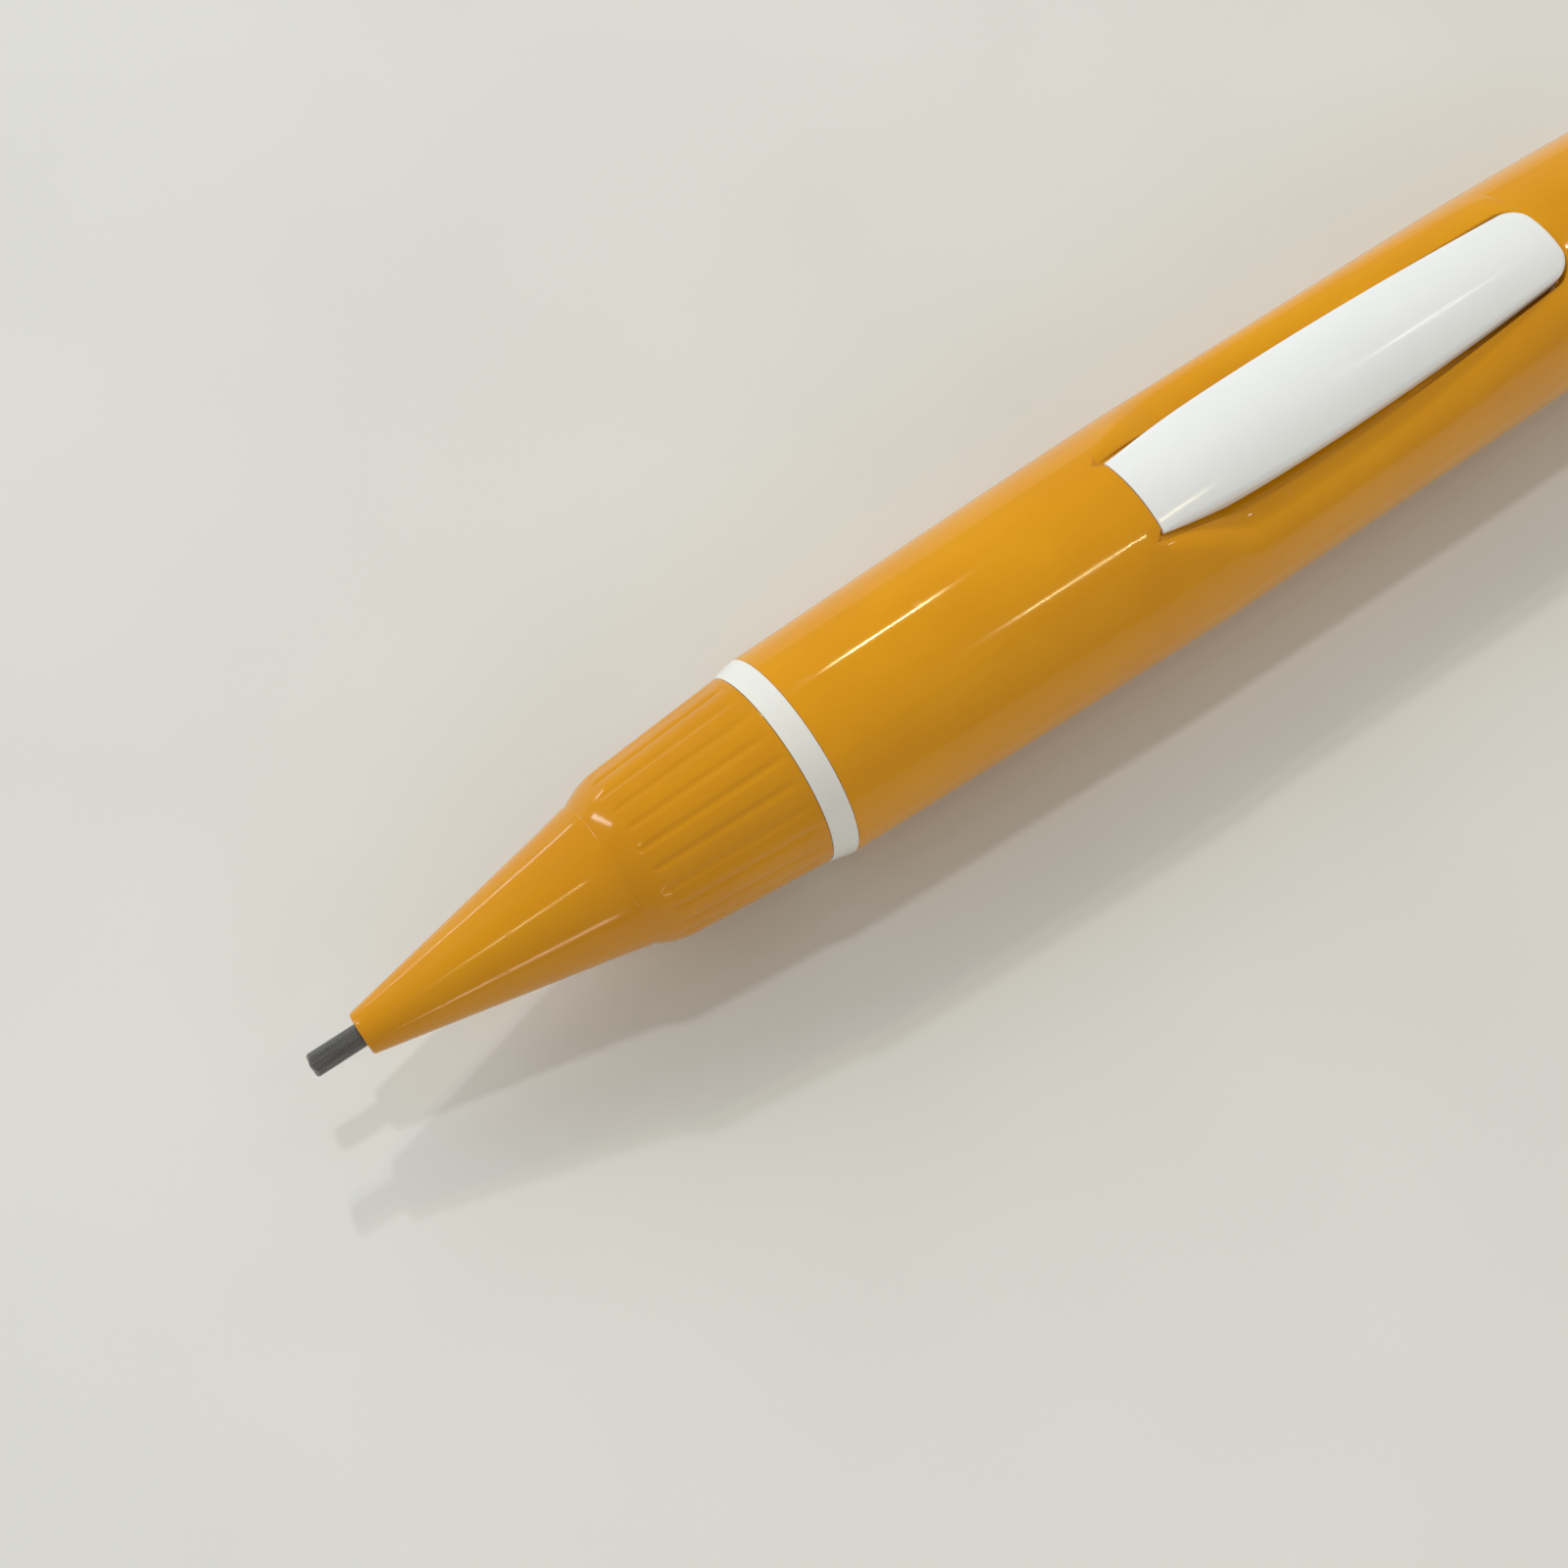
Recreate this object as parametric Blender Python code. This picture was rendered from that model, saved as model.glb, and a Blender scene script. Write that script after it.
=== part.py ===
"""A fat push-button mechanical pencil, lying on its side.

The writing point looks towards -X and the push button towards +X; the clip is on top (+Z).
Every length below is in millimetres.  A station is a distance along the pencil's axis, counted
from the point of the lead, and a height is counted from that axis.
"""
import math

import bmesh
import bpy
from mathutils import Vector

MM = 0.001

# Driving dimensions ---------------------------------------------------------------------------
LENGTH = 124.0                 # lead point to eraser end
BARREL_SIDES = 36              # facets round the barrel; a flat one lies underneath
BARREL_RADIUS = 6.87
BARREL_FRONT, BARREL_REAR = 29.55, 106.0
FULL_FROM, FULL_TO = 56.0, 80.0            # stretch where the barrel has its full radius
FRONT_DROP, FRONT_POWER = 0.74, 1.25       # how the barrel slims towards the ring
REAR_DROP, REAR_POWER = 0.92, 1.6          # and towards the button
WALL_BORE = 3.5                # narrow bore under the clip's recess
FRONT_BORE, REAR_BORE = 5.6, 4.9
FRONT_BORE_END, REAR_BORE_START = 49.0, 84.0

LEAD_RADIUS = 0.65             # 1.3 mm lead
LEAD_LENGTH = 45.0
SPARE_LEAD_LENGTH = 60.0
SPARE_LEAD_FRONT = 46.0
SPARE_LEAD_RING = 1.5          # distance of a spare lead's centre from the axis
SPARE_LEAD_STEP = 58.0         # degrees between neighbouring spare leads

CONE_FRONT, CONE_REAR = 2.9, 17.2
CONE_TIP_RADIUS, CONE_SLOPE = 1.2, 0.207
GRIP_FRONT, GRIP_REAR = 20.2, 28.1
GRIP_FRONT_RADIUS, GRIP_REAR_RADIUS = 5.08, 5.8
FLUTES = 25
FLUTE_DEPTH = 0.2
FLUTE_FADE = 0.9               # length over which a flute runs out at each end
SIDES_PER_FLUTE = 3

THREAD_CREST, THREAD_ROOT = 4.45, 4.25
THREAD_PITCH = 1.0
THREAD_FRONT, THREAD_TURNS = 31.2, 5
SPIGOT_REAR = 36.2

FACE_GAP = 0.1                 # between faces that meet on assembly

RECESS_FRONT = 51.45
CLIP_FRONT, CLIP_REAR = 51.65, 82.2
CLIP_HALF_WIDTH = 3.16
CLIP_CROWN = 7.0               # height of the clip's ridge line
CLIP_CROSS_RADIUS = 6.0        # the clip's curve from side to side
CLIP_UNDERSIDE = 5.2
CLIP_CORNER = 1.2              # radius of the clip's two rear corners, seen from above
TONGUE_FRONT, TONGUE_REAR = 78.6, 81.4
TONGUE_HALF_WIDTH, TONGUE_FOOT = 1.6, 3.8
CLIP_HINGE = (81.0, 5.2)       # station and height where the clip flexes
POCKET_FLOOR = 4.9

JAW_COUNT = 3
JAW_FRONT, JAW_REAR = 18.2, 25.3
JAW_SPREAD = 112.0             # degrees that one jaw covers
JAW_PIVOT_RADIUS = 1.04

CLUTCH_FRONT, CLUTCH_REAR, CLUTCH_RADIUS = 20.6, 22.5, 3.2
STEM_REAR, STEM_RADIUS, STEM_BORE = 41.0, 1.3, 0.95
SLEEVE_FRONT, SLEEVE_REAR = 22.8, 39.9
SLEEVE_RADIUS, SLEEVE_BORE = 3.3, 3.05
FLANGE_FRONT, FLANGE_REAR, FLANGE_RADIUS = 36.6, 37.8, 4.8

SPRING_FRONT, SPRING_REAR = 26.5, 37.9
SPRING_RADIUS, WIRE_RADIUS = 2.3, 0.2
SPRING_TURNS, CLOSED_TURNS = 8, 1

TUBE_FRONT, TUBE_REAR = 41.3, 108.5
TUBE_RADIUS, TUBE_BORE = 2.75, 2.3
BUTTON_FRONT, BUTTON_REAR, BUTTON_RADIUS = 99.5, 118.5, 4.0
BUTTON_FLOOR_FRONT, BUTTON_FLOOR_REAR = 109.0, 110.6   # the wall between tube and eraser
BUSH_FRONT, BUSH_REAR = 96.5, 107.6
ERASER_FRONT, ERASER_RADIUS = 111.0, 3.05

AXIS_HEIGHT = BARREL_RADIUS * math.cos(math.pi / BARREL_SIDES)

PLACES = {}                    # where each frame and piece stands, as (station, y, height)


# Scene, materials and placing -----------------------------------------------------------------
def clear_scene():
    """Remove whatever the file holds."""
    for item in list(bpy.data.objects):
        bpy.data.objects.remove(item, do_unlink=True)


def plain_material(name, colour, roughness, metallic=0.0):
    """A Principled material with one colour."""
    material = bpy.data.materials.new(name)
    material.use_nodes = True
    shader = material.node_tree.nodes["Principled BSDF"]
    shader.inputs["Base Color"].default_value = (*colour, 1.0)
    shader.inputs["Roughness"].default_value = roughness
    shader.inputs["Metallic"].default_value = metallic
    return material


def place(item, parent, point):
    """Stand an object or empty at a point on its parent."""
    PLACES[item.name] = Vector(point)
    if parent is None:
        item.location = (-0.5 * LENGTH * MM, 0.0, AXIS_HEIGHT * MM)
        return
    item.parent = parent
    item.location = (PLACES[item.name] - PLACES[parent.name]) * MM


def frame(name, parent, point):
    """An empty that carries one moving body, standing on its joint's axis."""
    empty = bpy.data.objects.new(name, None)
    empty.empty_display_size = 2.0 * MM
    bpy.context.collection.objects.link(empty)
    place(empty, parent, point)
    return empty


def finish_piece(name, bm, material, parent, point, smooth_below=35.0):
    """Turn a bmesh drawn in millimetres into a named piece standing at a point on its parent."""
    bmesh.ops.remove_doubles(bm, verts=bm.verts, dist=1e-4)
    bmesh.ops.recalc_face_normals(bm, faces=bm.faces)
    origin = Vector(point)
    for vert in bm.verts:
        vert.co = (vert.co - origin) * MM
    mesh = bpy.data.meshes.new(name)
    bm.to_mesh(mesh)
    bm.free()
    mesh.shade_smooth()
    mesh.set_sharp_from_angle(angle=math.radians(smooth_below))
    piece = bpy.data.objects.new(name, mesh)
    bpy.context.collection.objects.link(piece)
    if material is not None:
        mesh.materials.append(material)
    place(piece, parent, point)
    return piece


# Shapes ---------------------------------------------------------------------------------------
def on_circle(station, radius, degrees):
    """A point at an angle from the top, turning towards -Y."""
    angle = math.radians(degrees)
    return Vector((station, -radius * math.sin(angle), radius * math.cos(angle)))


def turned_bmesh(outline, sides, start, spread=360.0):
    """Spin an outline of (station, radius) points round the axis.

    An outline that ends on the axis is solid; a closed one, given with closed ends, is a tube."""
    bm = bmesh.new()
    verts = [bm.verts.new(on_circle(s, r, start)) for s, r in outline]
    edges = [bm.edges.new(pair) for pair in zip(verts, verts[1:])]
    on_axis = outline[0][1] == 0.0 and outline[-1][1] == 0.0
    if not on_axis:
        edges.append(bm.edges.new((verts[-1], verts[0])))
    whole = spread == 360.0
    if not whole:
        bm.faces.new(verts)
    bmesh.ops.spin(bm, geom=verts + edges, cent=(0, 0, 0), axis=(1, 0, 0),
                   angle=math.radians(spread), steps=sides, use_merge=whole)
    if not whole:
        last = bm.verts[:][-len(outline):]
        bm.faces.new(last)
    return bm


def turned(name, outline, sides, material, parent, station):
    """A piece turned round the pencil's axis, with a flat facet underneath."""
    bm = turned_bmesh(outline, sides, 180.0 / sides)
    return finish_piece(name, bm, material, parent, (station, 0.0, 0.0))


def lofted_bmesh(sections):
    """Join rings of points, one after the other, and close both ends."""
    bm = bmesh.new()
    rings = [[bm.verts.new(point) for point in section] for section in sections]
    for near, far in zip(rings, rings[1:]):
        for i in range(len(near)):
            j = (i + 1) % len(near)
            bm.faces.new((near[i], near[j], far[j], far[i]))
    bm.faces.new(rings[0])
    bm.faces.new(rings[-1])
    return bm


def steps(start, stop, count):
    """Evenly spaced values from start to stop, both included."""
    return [start + (stop - start) * i / count for i in range(count + 1)]


def blend(value, start, stop):
    """0 at start, 1 at stop, straight between and level outside."""
    return min(max((value - start) / (stop - start), 0.0), 1.0)


# Barrel and clip ------------------------------------------------------------------------------
def barrel_radius(station):
    """The round barrel's outer radius: full in the middle, slimmer at both ends."""
    if station < FULL_FROM:
        share = (FULL_FROM - station) / (FULL_FROM - BARREL_FRONT)
        return BARREL_RADIUS - FRONT_DROP * share ** FRONT_POWER
    if station > FULL_TO:
        share = (station - FULL_TO) / (BARREL_REAR - FULL_TO)
        return BARREL_RADIUS - REAR_DROP * share ** REAR_POWER
    return BARREL_RADIUS


def recess_height(station):
    """Height of the recess floor on its centre line: a front wall, a level floor and a ramp."""
    wall_foot, floor_end, ramp_top = 55.2, 66.0, 83.0
    wall_height, floor_height, land_drop = 5.75, 4.6, 0.42
    if station < wall_foot:
        return wall_height + (floor_height - wall_height) * blend(station, RECESS_FRONT, wall_foot)
    if station < ramp_top:
        top = barrel_radius(ramp_top) - land_drop
        return floor_height + (top - floor_height) * blend(station, floor_end, ramp_top)
    return barrel_radius(station) - land_drop


def recess_cutter(parent):
    """The body that scoops the recess: flat from side to side under the clip, crowned behind it."""
    reach, roof, land_radius = 8.0, 9.0, 12.0
    stations = [RECESS_FRONT, 55.2, 60.0] + steps(66.0, 83.0, 5) + steps(88.0, 107.0, 4)
    sections = []
    for s in stations:
        bend = blend(s, 66.0, 82.0) / land_radius
        across = steps(-reach, reach, 8)
        floor = [(s, y, recess_height(s) - 0.5 * bend * y * y) for y in across]
        sections.append(floor + [(s, reach, roof), (s, -reach, roof)])
    return cutter("recess_cutter", lofted_bmesh(sections), parent)


def clip_half_width(station):
    """Half the clip's width seen from above: widest a little ahead of its middle."""
    widest, front_loss, rear_loss = 65.0, 0.62, 0.66
    if station < widest:
        return CLIP_HALF_WIDTH - front_loss * ((widest - station) / (widest - CLIP_FRONT)) ** 3
    return CLIP_HALF_WIDTH - rear_loss * ((station - widest) / (CLIP_REAR - widest)) ** 1.6


def corner_half_width(station, grow):
    """The same, with the clip's rounded rear corners, or a pocket grown by a gap around them."""
    width = clip_half_width(min(station, CLIP_REAR)) + grow
    radius = CLIP_CORNER + grow
    into_corner = station - (CLIP_REAR + grow - radius)
    if into_corner <= 0.0:
        return width
    return width - radius + math.sqrt(max(radius ** 2 - into_corner ** 2, 0.0))


def corner_stations(grow):
    """Stations that follow the rounded rear corners."""
    radius = CLIP_CORNER + grow
    start = CLIP_REAR + grow - radius
    return [start + radius * math.sin(math.radians(a)) for a in (30.0, 55.0, 75.0, 88.0)]


def pocket_cutter(parent):
    """The body that sinks the clip's rear half into the barrel, a gap wider than the clip."""
    gap, roof, front = 0.25, 9.0, 67.0
    sections = []
    for s in steps(front, 80.0, 5) + corner_stations(gap):
        w = corner_half_width(s, gap)
        sections.append([(s, -w, POCKET_FLOOR), (s, w, POCKET_FLOOR), (s, w, roof), (s, -w, roof)])
    return cutter("pocket_cutter", lofted_bmesh(sections), parent)


def slot_cutter(parent):
    """The body that opens the barrel's wall for the clip's tongue."""
    gap, foot, roof = 0.3, 3.0, 9.0
    w = TONGUE_HALF_WIDTH + gap
    sections = [[(s, -w, foot), (s, w, foot), (s, w, roof), (s, -w, roof)]
                for s in (TONGUE_FRONT - gap, TONGUE_REAR + gap)]
    return cutter("slot_cutter", lofted_bmesh(sections), parent)


def cutter(name, bm, parent):
    """A guide body for a Boolean, shown as wire and never part of the pencil."""
    piece = finish_piece(name, bm, None, parent, (RECESS_FRONT, 0.0, 0.0))
    piece.hide_render = True
    piece.display_type = 'WIRE'
    return piece


def build_barrel(material, parent):
    """The hollow barrel with the clip's recess, pocket and slot cut into its top."""
    chamfer = 0.15
    front = steps(BARREL_FRONT + chamfer, FULL_FROM, 6)
    rear = steps(FULL_TO, BARREL_REAR - chamfer, 6)
    outline = [(BARREL_FRONT, barrel_radius(BARREL_FRONT) - chamfer)]
    outline += [(s, barrel_radius(s)) for s in front + rear]
    outline += [(BARREL_REAR, barrel_radius(BARREL_REAR) - chamfer)]
    outline += [(BARREL_REAR, REAR_BORE), (REAR_BORE_START, REAR_BORE)]
    outline += [(REAR_BORE_START, WALL_BORE), (FRONT_BORE_END, WALL_BORE)]
    outline += [(FRONT_BORE_END, FRONT_BORE), (BARREL_FRONT, FRONT_BORE)]
    barrel = turned("barrel", outline, BARREL_SIDES, material, parent, BARREL_FRONT)
    for body in (recess_cutter(parent), pocket_cutter(parent), slot_cutter(parent)):
        cut = barrel.modifiers.new(body.name, 'BOOLEAN')
        cut.operation = 'DIFFERENCE'
        cut.solver = 'EXACT'
        cut.object = body
    return barrel


def clip_ridge(station):
    """Height of the clip's ridge line: flush with the barrel in front, a little proud after it."""
    flush = barrel_radius(station) + 0.03
    rise = CLIP_CROWN - BARREL_RADIUS
    return flush + rise * blend(station, CLIP_FRONT, 57.0) * (1.0 - 0.6 * blend(station, 72.0, 82.0))


def clip_underside(station):
    """Height of the clip's flat underside: it rises to a thin toe in front."""
    toe_height, toe_end = 5.95, 56.0
    return toe_height + (CLIP_UNDERSIDE - toe_height) * blend(station, CLIP_FRONT, toe_end)


def clip_section(station):
    """The clip's outline across: a crowned top, eased edges and a flat underside."""
    ease = 0.2
    w = corner_half_width(station, 0.0)
    foot = clip_underside(station)
    ridge = clip_ridge(station)
    shares = (1.0, 0.93, 0.7, 0.35, 0.0, -0.35, -0.7, -0.93, -1.0)
    top = []
    for share in shares:
        y = share * w
        z = ridge - CLIP_CROSS_RADIUS + math.sqrt(CLIP_CROSS_RADIUS ** 2 - y * y)
        if abs(share) == 1.0:
            z = max(z - ease, foot + 0.1)
        top.append((station, y, z))
    tongue = min(TONGUE_HALF_WIDTH, 0.6 * w)
    under = [(station, y, foot) for y in (-w, -tongue, tongue, w)]
    return top + under


def build_clip(material, parent):
    """The clip: one crowned strip that bridges the recess, with a tongue down through the wall."""
    stations = [CLIP_FRONT, 52.3, 53.5, 56.0, 59.0, 62.0, 65.0, 68.0, 71.0, 74.0, 77.0]
    stations += [TONGUE_FRONT, 80.2] + corner_stations(0.0)
    stations[stations.index(corner_stations(0.0)[0])] = TONGUE_REAR
    sections = [clip_section(s) for s in sorted(set(stations))]
    bm = lofted_bmesh(sections)
    bmesh.ops.recalc_face_normals(bm, faces=bm.faces)
    foot_faces = [face for face in bm.faces if is_tongue_root(face)]
    grown = bmesh.ops.extrude_face_region(bm, geom=foot_faces)
    bmesh.ops.delete(bm, geom=foot_faces, context='FACES')
    for item in grown["geom"]:
        if isinstance(item, bmesh.types.BMVert):
            item.co.z = TONGUE_FOOT
    return finish_piece("clip", bm, material, parent, (CLIP_HINGE[0], 0.0, CLIP_HINGE[1]))


def is_tongue_root(face):
    """True for the underside faces that the tongue grows from."""
    centre = face.calc_center_median()
    flat_under = all(abs(vert.co.z - CLIP_UNDERSIDE) < 1e-4 for vert in face.verts)
    return flat_under and abs(centre.y) < 0.5 and TONGUE_FRONT < centre.x < TONGUE_REAR


# Nose and ring --------------------------------------------------------------------------------
def cone_radius(station):
    return CONE_TIP_RADIUS + CONE_SLOPE * (station - CONE_FRONT)


def grip_radius(station):
    share = blend(station, GRIP_FRONT, GRIP_REAR)
    return GRIP_FRONT_RADIUS + (GRIP_REAR_RADIUS - GRIP_FRONT_RADIUS) * share


def nose_outline():
    """Cone, shoulder, grip and threaded spigot outside; the chuck's stepped chamber inside."""
    outline = [(CONE_FRONT, CONE_TIP_RADIUS - 0.1), (CONE_FRONT + 0.1, cone_radius(CONE_FRONT + 0.1))]
    outline += [(CONE_REAR, cone_radius(CONE_REAR)), (17.9, 4.36), (18.4, 4.6)]
    outline += [(19.0, 4.87), (19.5, 5.01), (GRIP_FRONT, GRIP_FRONT_RADIUS)]
    outline += [(s, grip_radius(s)) for s in steps(21.1, 26.3, 2)]
    outline += [(27.5, grip_radius(27.5)), (GRIP_REAR, GRIP_REAR_RADIUS)]
    outline += [(GRIP_REAR, THREAD_ROOT)]
    for turn in range(THREAD_TURNS):
        s = THREAD_FRONT + turn * THREAD_PITCH
        outline += [(s, THREAD_ROOT), (s + 0.5 * THREAD_PITCH, THREAD_CREST)]
    outline += [(SPIGOT_REAR, THREAD_ROOT)]
    before = SPIGOT_REAR
    for front, bore in ((19.5, SLEEVE_RADIUS + 0.2), (13.4, TUBE_RADIUS), (8.8, 1.95), (CONE_FRONT, 0.8)):
        outline += [(before, bore), (front, bore)]
        before = front
    return outline


def build_nose(material, parent):
    """The nose moulding, with flutes pressed into its grip."""
    sides = FLUTES * SIDES_PER_FLUTE
    bm = turned_bmesh(nose_outline(), sides, 0.0)
    bmesh.ops.remove_doubles(bm, verts=bm.verts, dist=1e-4)
    for vert in bm.verts:
        s, radius = vert.co.x, math.hypot(vert.co.y, vert.co.z)
        turn = math.degrees(math.atan2(-vert.co.y, vert.co.z)) % (360.0 / FLUTES)
        in_groove = min(turn, 360.0 / FLUTES - turn) < 0.1
        front = blend(s, GRIP_FRONT - FLUTE_FADE, GRIP_FRONT + 0.2)
        rear = 1.0 - blend(s, GRIP_REAR - 2.0 * FLUTE_FADE, GRIP_REAR - 0.6)
        depth = FLUTE_DEPTH * min(front, rear)
        if in_groove and depth > 0.0 and radius > THREAD_CREST + 0.1:
            vert.co.yz = vert.co.yz * (1.0 - depth / radius)
    return finish_piece("nose_cone", bm, material, parent, (CONE_FRONT, 0.0, 0.0), 50.0)


def build_trim_ring(material, parent):
    """The ring that is trapped between nose and barrel and carries the flare across."""
    front, rear = GRIP_REAR + FACE_GAP, BARREL_FRONT - FACE_GAP
    bore = THREAD_CREST + 0.15
    outline = [(front, GRIP_REAR_RADIUS + 0.02), (rear, barrel_radius(BARREL_FRONT) - 0.02)]
    outline += [(rear, bore), (front, bore)]
    return turned("trim_ring", outline, BARREL_SIDES, material, parent, front)


# Mechanism and rear end -----------------------------------------------------------------------
def build_chuck_jaws(material, parents):
    """The three jaws of the slit collet, each hinged at its own root."""
    outline = [(JAW_FRONT, 1.8), (JAW_FRONT + 0.15, 1.9), (19.8, 1.95), (21.6, 1.3)]
    outline += [(JAW_REAR, 1.3), (JAW_REAR, 0.78), (JAW_FRONT, 0.78)]
    for index, parent in enumerate(parents):
        middle = 360.0 / JAW_COUNT * index
        bm = turned_bmesh(outline, 6, middle - 0.5 * JAW_SPREAD, JAW_SPREAD)
        pivot = on_circle(JAW_REAR, JAW_PIVOT_RADIUS, middle)
        finish_piece(f"chuck_jaw_{index + 1}", bm, material, parent, pivot)


def build_spring(material, parent):
    """A round-wire compression spring with a closed turn at each end."""
    ring_sides, steps_per_turn = 5, 12
    closed_rise = 2.3 * WIRE_RADIUS
    count = SPRING_TURNS * steps_per_turn
    open_turns = SPRING_TURNS - 2 * CLOSED_TURNS
    first, last = SPRING_FRONT + WIRE_RADIUS, SPRING_REAR - WIRE_RADIUS
    open_rise = (last - first - 2 * CLOSED_TURNS * closed_rise) / open_turns
    sections = []
    for i in range(count + 1):
        turn = i / steps_per_turn
        front_turns = min(turn, CLOSED_TURNS)
        rear_turns = max(turn - CLOSED_TURNS - open_turns, 0.0)
        middle_turns = turn - front_turns - rear_turns
        s = first + closed_rise * (front_turns + rear_turns) + open_rise * middle_turns
        section = []
        for k in range(ring_sides):
            angle = 2.0 * math.pi * k / ring_sides
            radius = SPRING_RADIUS + WIRE_RADIUS * math.cos(angle)
            section.append(on_circle(s + WIRE_RADIUS * math.sin(angle), radius, 360.0 * turn))
        sections.append(section)
    bm = lofted_bmesh(sections)
    return finish_piece("return_spring", bm, material, parent, (SPRING_FRONT, 0.0, 0.0), 60.0)


def tube_outline(front, rear, outer, bore):
    return [(front, outer), (rear, outer), (rear, bore), (front, bore)]


def build_nose_inserts(look, nose):
    """The rubber washer that keeps the lead from falling out, and the collar that holds it."""
    front, rear, radius, hole = 9.0, 10.6, 1.85, 0.75
    ease = 0.15
    washer = [(front, radius - ease), (front + ease, radius), (rear, radius)]
    washer += [(rear, hole + ease), (rear - 2.0 * ease, hole), (front, hole)]
    turned("lead_retainer", washer, 24, look["rubber"], nose, front)
    front, rear, hole, mouth = rear + FACE_GAP, 13.2, 0.95, 1.5
    collar = [(front, radius), (rear, radius), (rear, mouth), (rear - 0.8, hole), (front, hole)]
    turned("retainer_holder", collar, 24, look["white"], nose, front)


def build_clutch_ring(material, parent):
    """The brass ring that keeps the jaws shut, with a cone inside that meets theirs."""
    ease, hole, cone_rear = 0.15, 1.5, 21.6
    outline = [(CLUTCH_FRONT, CLUTCH_RADIUS - ease), (CLUTCH_FRONT + ease, CLUTCH_RADIUS)]
    outline += [(CLUTCH_REAR - ease, CLUTCH_RADIUS), (CLUTCH_REAR, CLUTCH_RADIUS - ease)]
    outline += [(CLUTCH_REAR, hole), (cone_rear, hole), (CLUTCH_FRONT, hole + 0.32)]
    turned("clutch_ring", outline, 30, material, parent, CLUTCH_FRONT)


def build_sleeve(material, parent):
    """The sleeve round the spring: a step inside for the spring's front, a flange outside."""
    ease, step, hole = 0.2, 26.2, 1.65
    outline = [(SLEEVE_FRONT, SLEEVE_RADIUS - ease), (SLEEVE_FRONT + ease, SLEEVE_RADIUS)]
    outline += [(FLANGE_FRONT, SLEEVE_RADIUS), (FLANGE_FRONT, FLANGE_RADIUS)]
    outline += [(FLANGE_REAR, FLANGE_RADIUS), (FLANGE_REAR, SLEEVE_RADIUS)]
    outline += [(SLEEVE_REAR, SLEEVE_RADIUS), (SLEEVE_REAR, SLEEVE_BORE)]
    outline += [(step, SLEEVE_BORE), (step, hole), (SLEEVE_FRONT, hole)]
    turned("mechanism_sleeve", outline, 30, material, parent, SLEEVE_FRONT)


def build_connector(material, parent):
    """The lining in the barrel's mouth that the nose screws into."""
    front, rear = 31.0, 44.2
    outer = FRONT_BORE - FACE_GAP
    land, thread_bore, rear_bore = FLANGE_FRONT - FACE_GAP, THREAD_CREST + 0.15, FLANGE_RADIUS + 0.1
    outline = [(front, outer), (rear, outer), (rear, rear_bore), (land, rear_bore)]
    outline += [(land, thread_bore), (front, thread_bore)]
    turned("threaded_connector", outline, BARREL_SIDES, material, parent, front)


def build_coupler(material, parent):
    """The plug that joins the chuck's stem to the lead tube and funnels leads into it."""
    front, rear, plug_bore, hole = 38.3, 44.5, STEM_RADIUS + 0.12, 1.0
    neck = TUBE_BORE - FACE_GAP
    outline = [(front, TUBE_RADIUS), (STEM_REAR, TUBE_RADIUS), (STEM_REAR, neck), (rear, neck)]
    outline += [(rear, neck - 0.3), (42.6, hole), (STEM_REAR + 0.2, hole)]
    outline += [(STEM_REAR + 0.2, plug_bore), (front, plug_bore)]
    turned("tube_coupler", outline, 24, material, parent, front)


def build_leads(material, lead, pusher):
    """The lead in use and the spare ones lying in the tube."""
    sides, tip = 12, 0.08
    outline = [(0.0, 0.0), (0.0, LEAD_RADIUS - tip), (tip, LEAD_RADIUS), (LEAD_LENGTH, LEAD_RADIUS),
               (LEAD_LENGTH, 0.0)]
    turned("lead", outline, sides, material, lead, 0.0)
    rear = SPARE_LEAD_FRONT + SPARE_LEAD_LENGTH
    spare = [(SPARE_LEAD_FRONT, 0.0), (SPARE_LEAD_FRONT, LEAD_RADIUS), (rear, LEAD_RADIUS), (rear, 0.0)]
    for index in range(3):
        centre = on_circle(0.0, SPARE_LEAD_RING, 180.0 + SPARE_LEAD_STEP * (index - 1))
        bm = turned_bmesh(spare, sides, 180.0 / sides)
        bmesh.ops.translate(bm, verts=bm.verts, vec=centre)
        point = (SPARE_LEAD_FRONT, centre.y, centre.z)
        finish_piece(f"spare_lead_{index + 1}", bm, material, pusher, point)


def build_bush(material, parent):
    """The white bush that closes the barrel and guides the button."""
    collar_front, collar_rear, collar_radius = BARREL_REAR + FACE_GAP, 107.2, 5.75
    guide, bore = REAR_BORE - 0.15, BUTTON_RADIUS + 0.15
    outline = [(BUSH_FRONT, guide), (collar_front, guide), (collar_front, collar_radius)]
    outline += [(collar_rear, collar_radius), (BUSH_REAR, collar_radius - 0.35)]
    outline += [(BUSH_REAR, bore), (BUSH_FRONT, bore)]
    turned("rear_bush", outline, BARREL_SIDES, material, parent, BUSH_FRONT)


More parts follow.
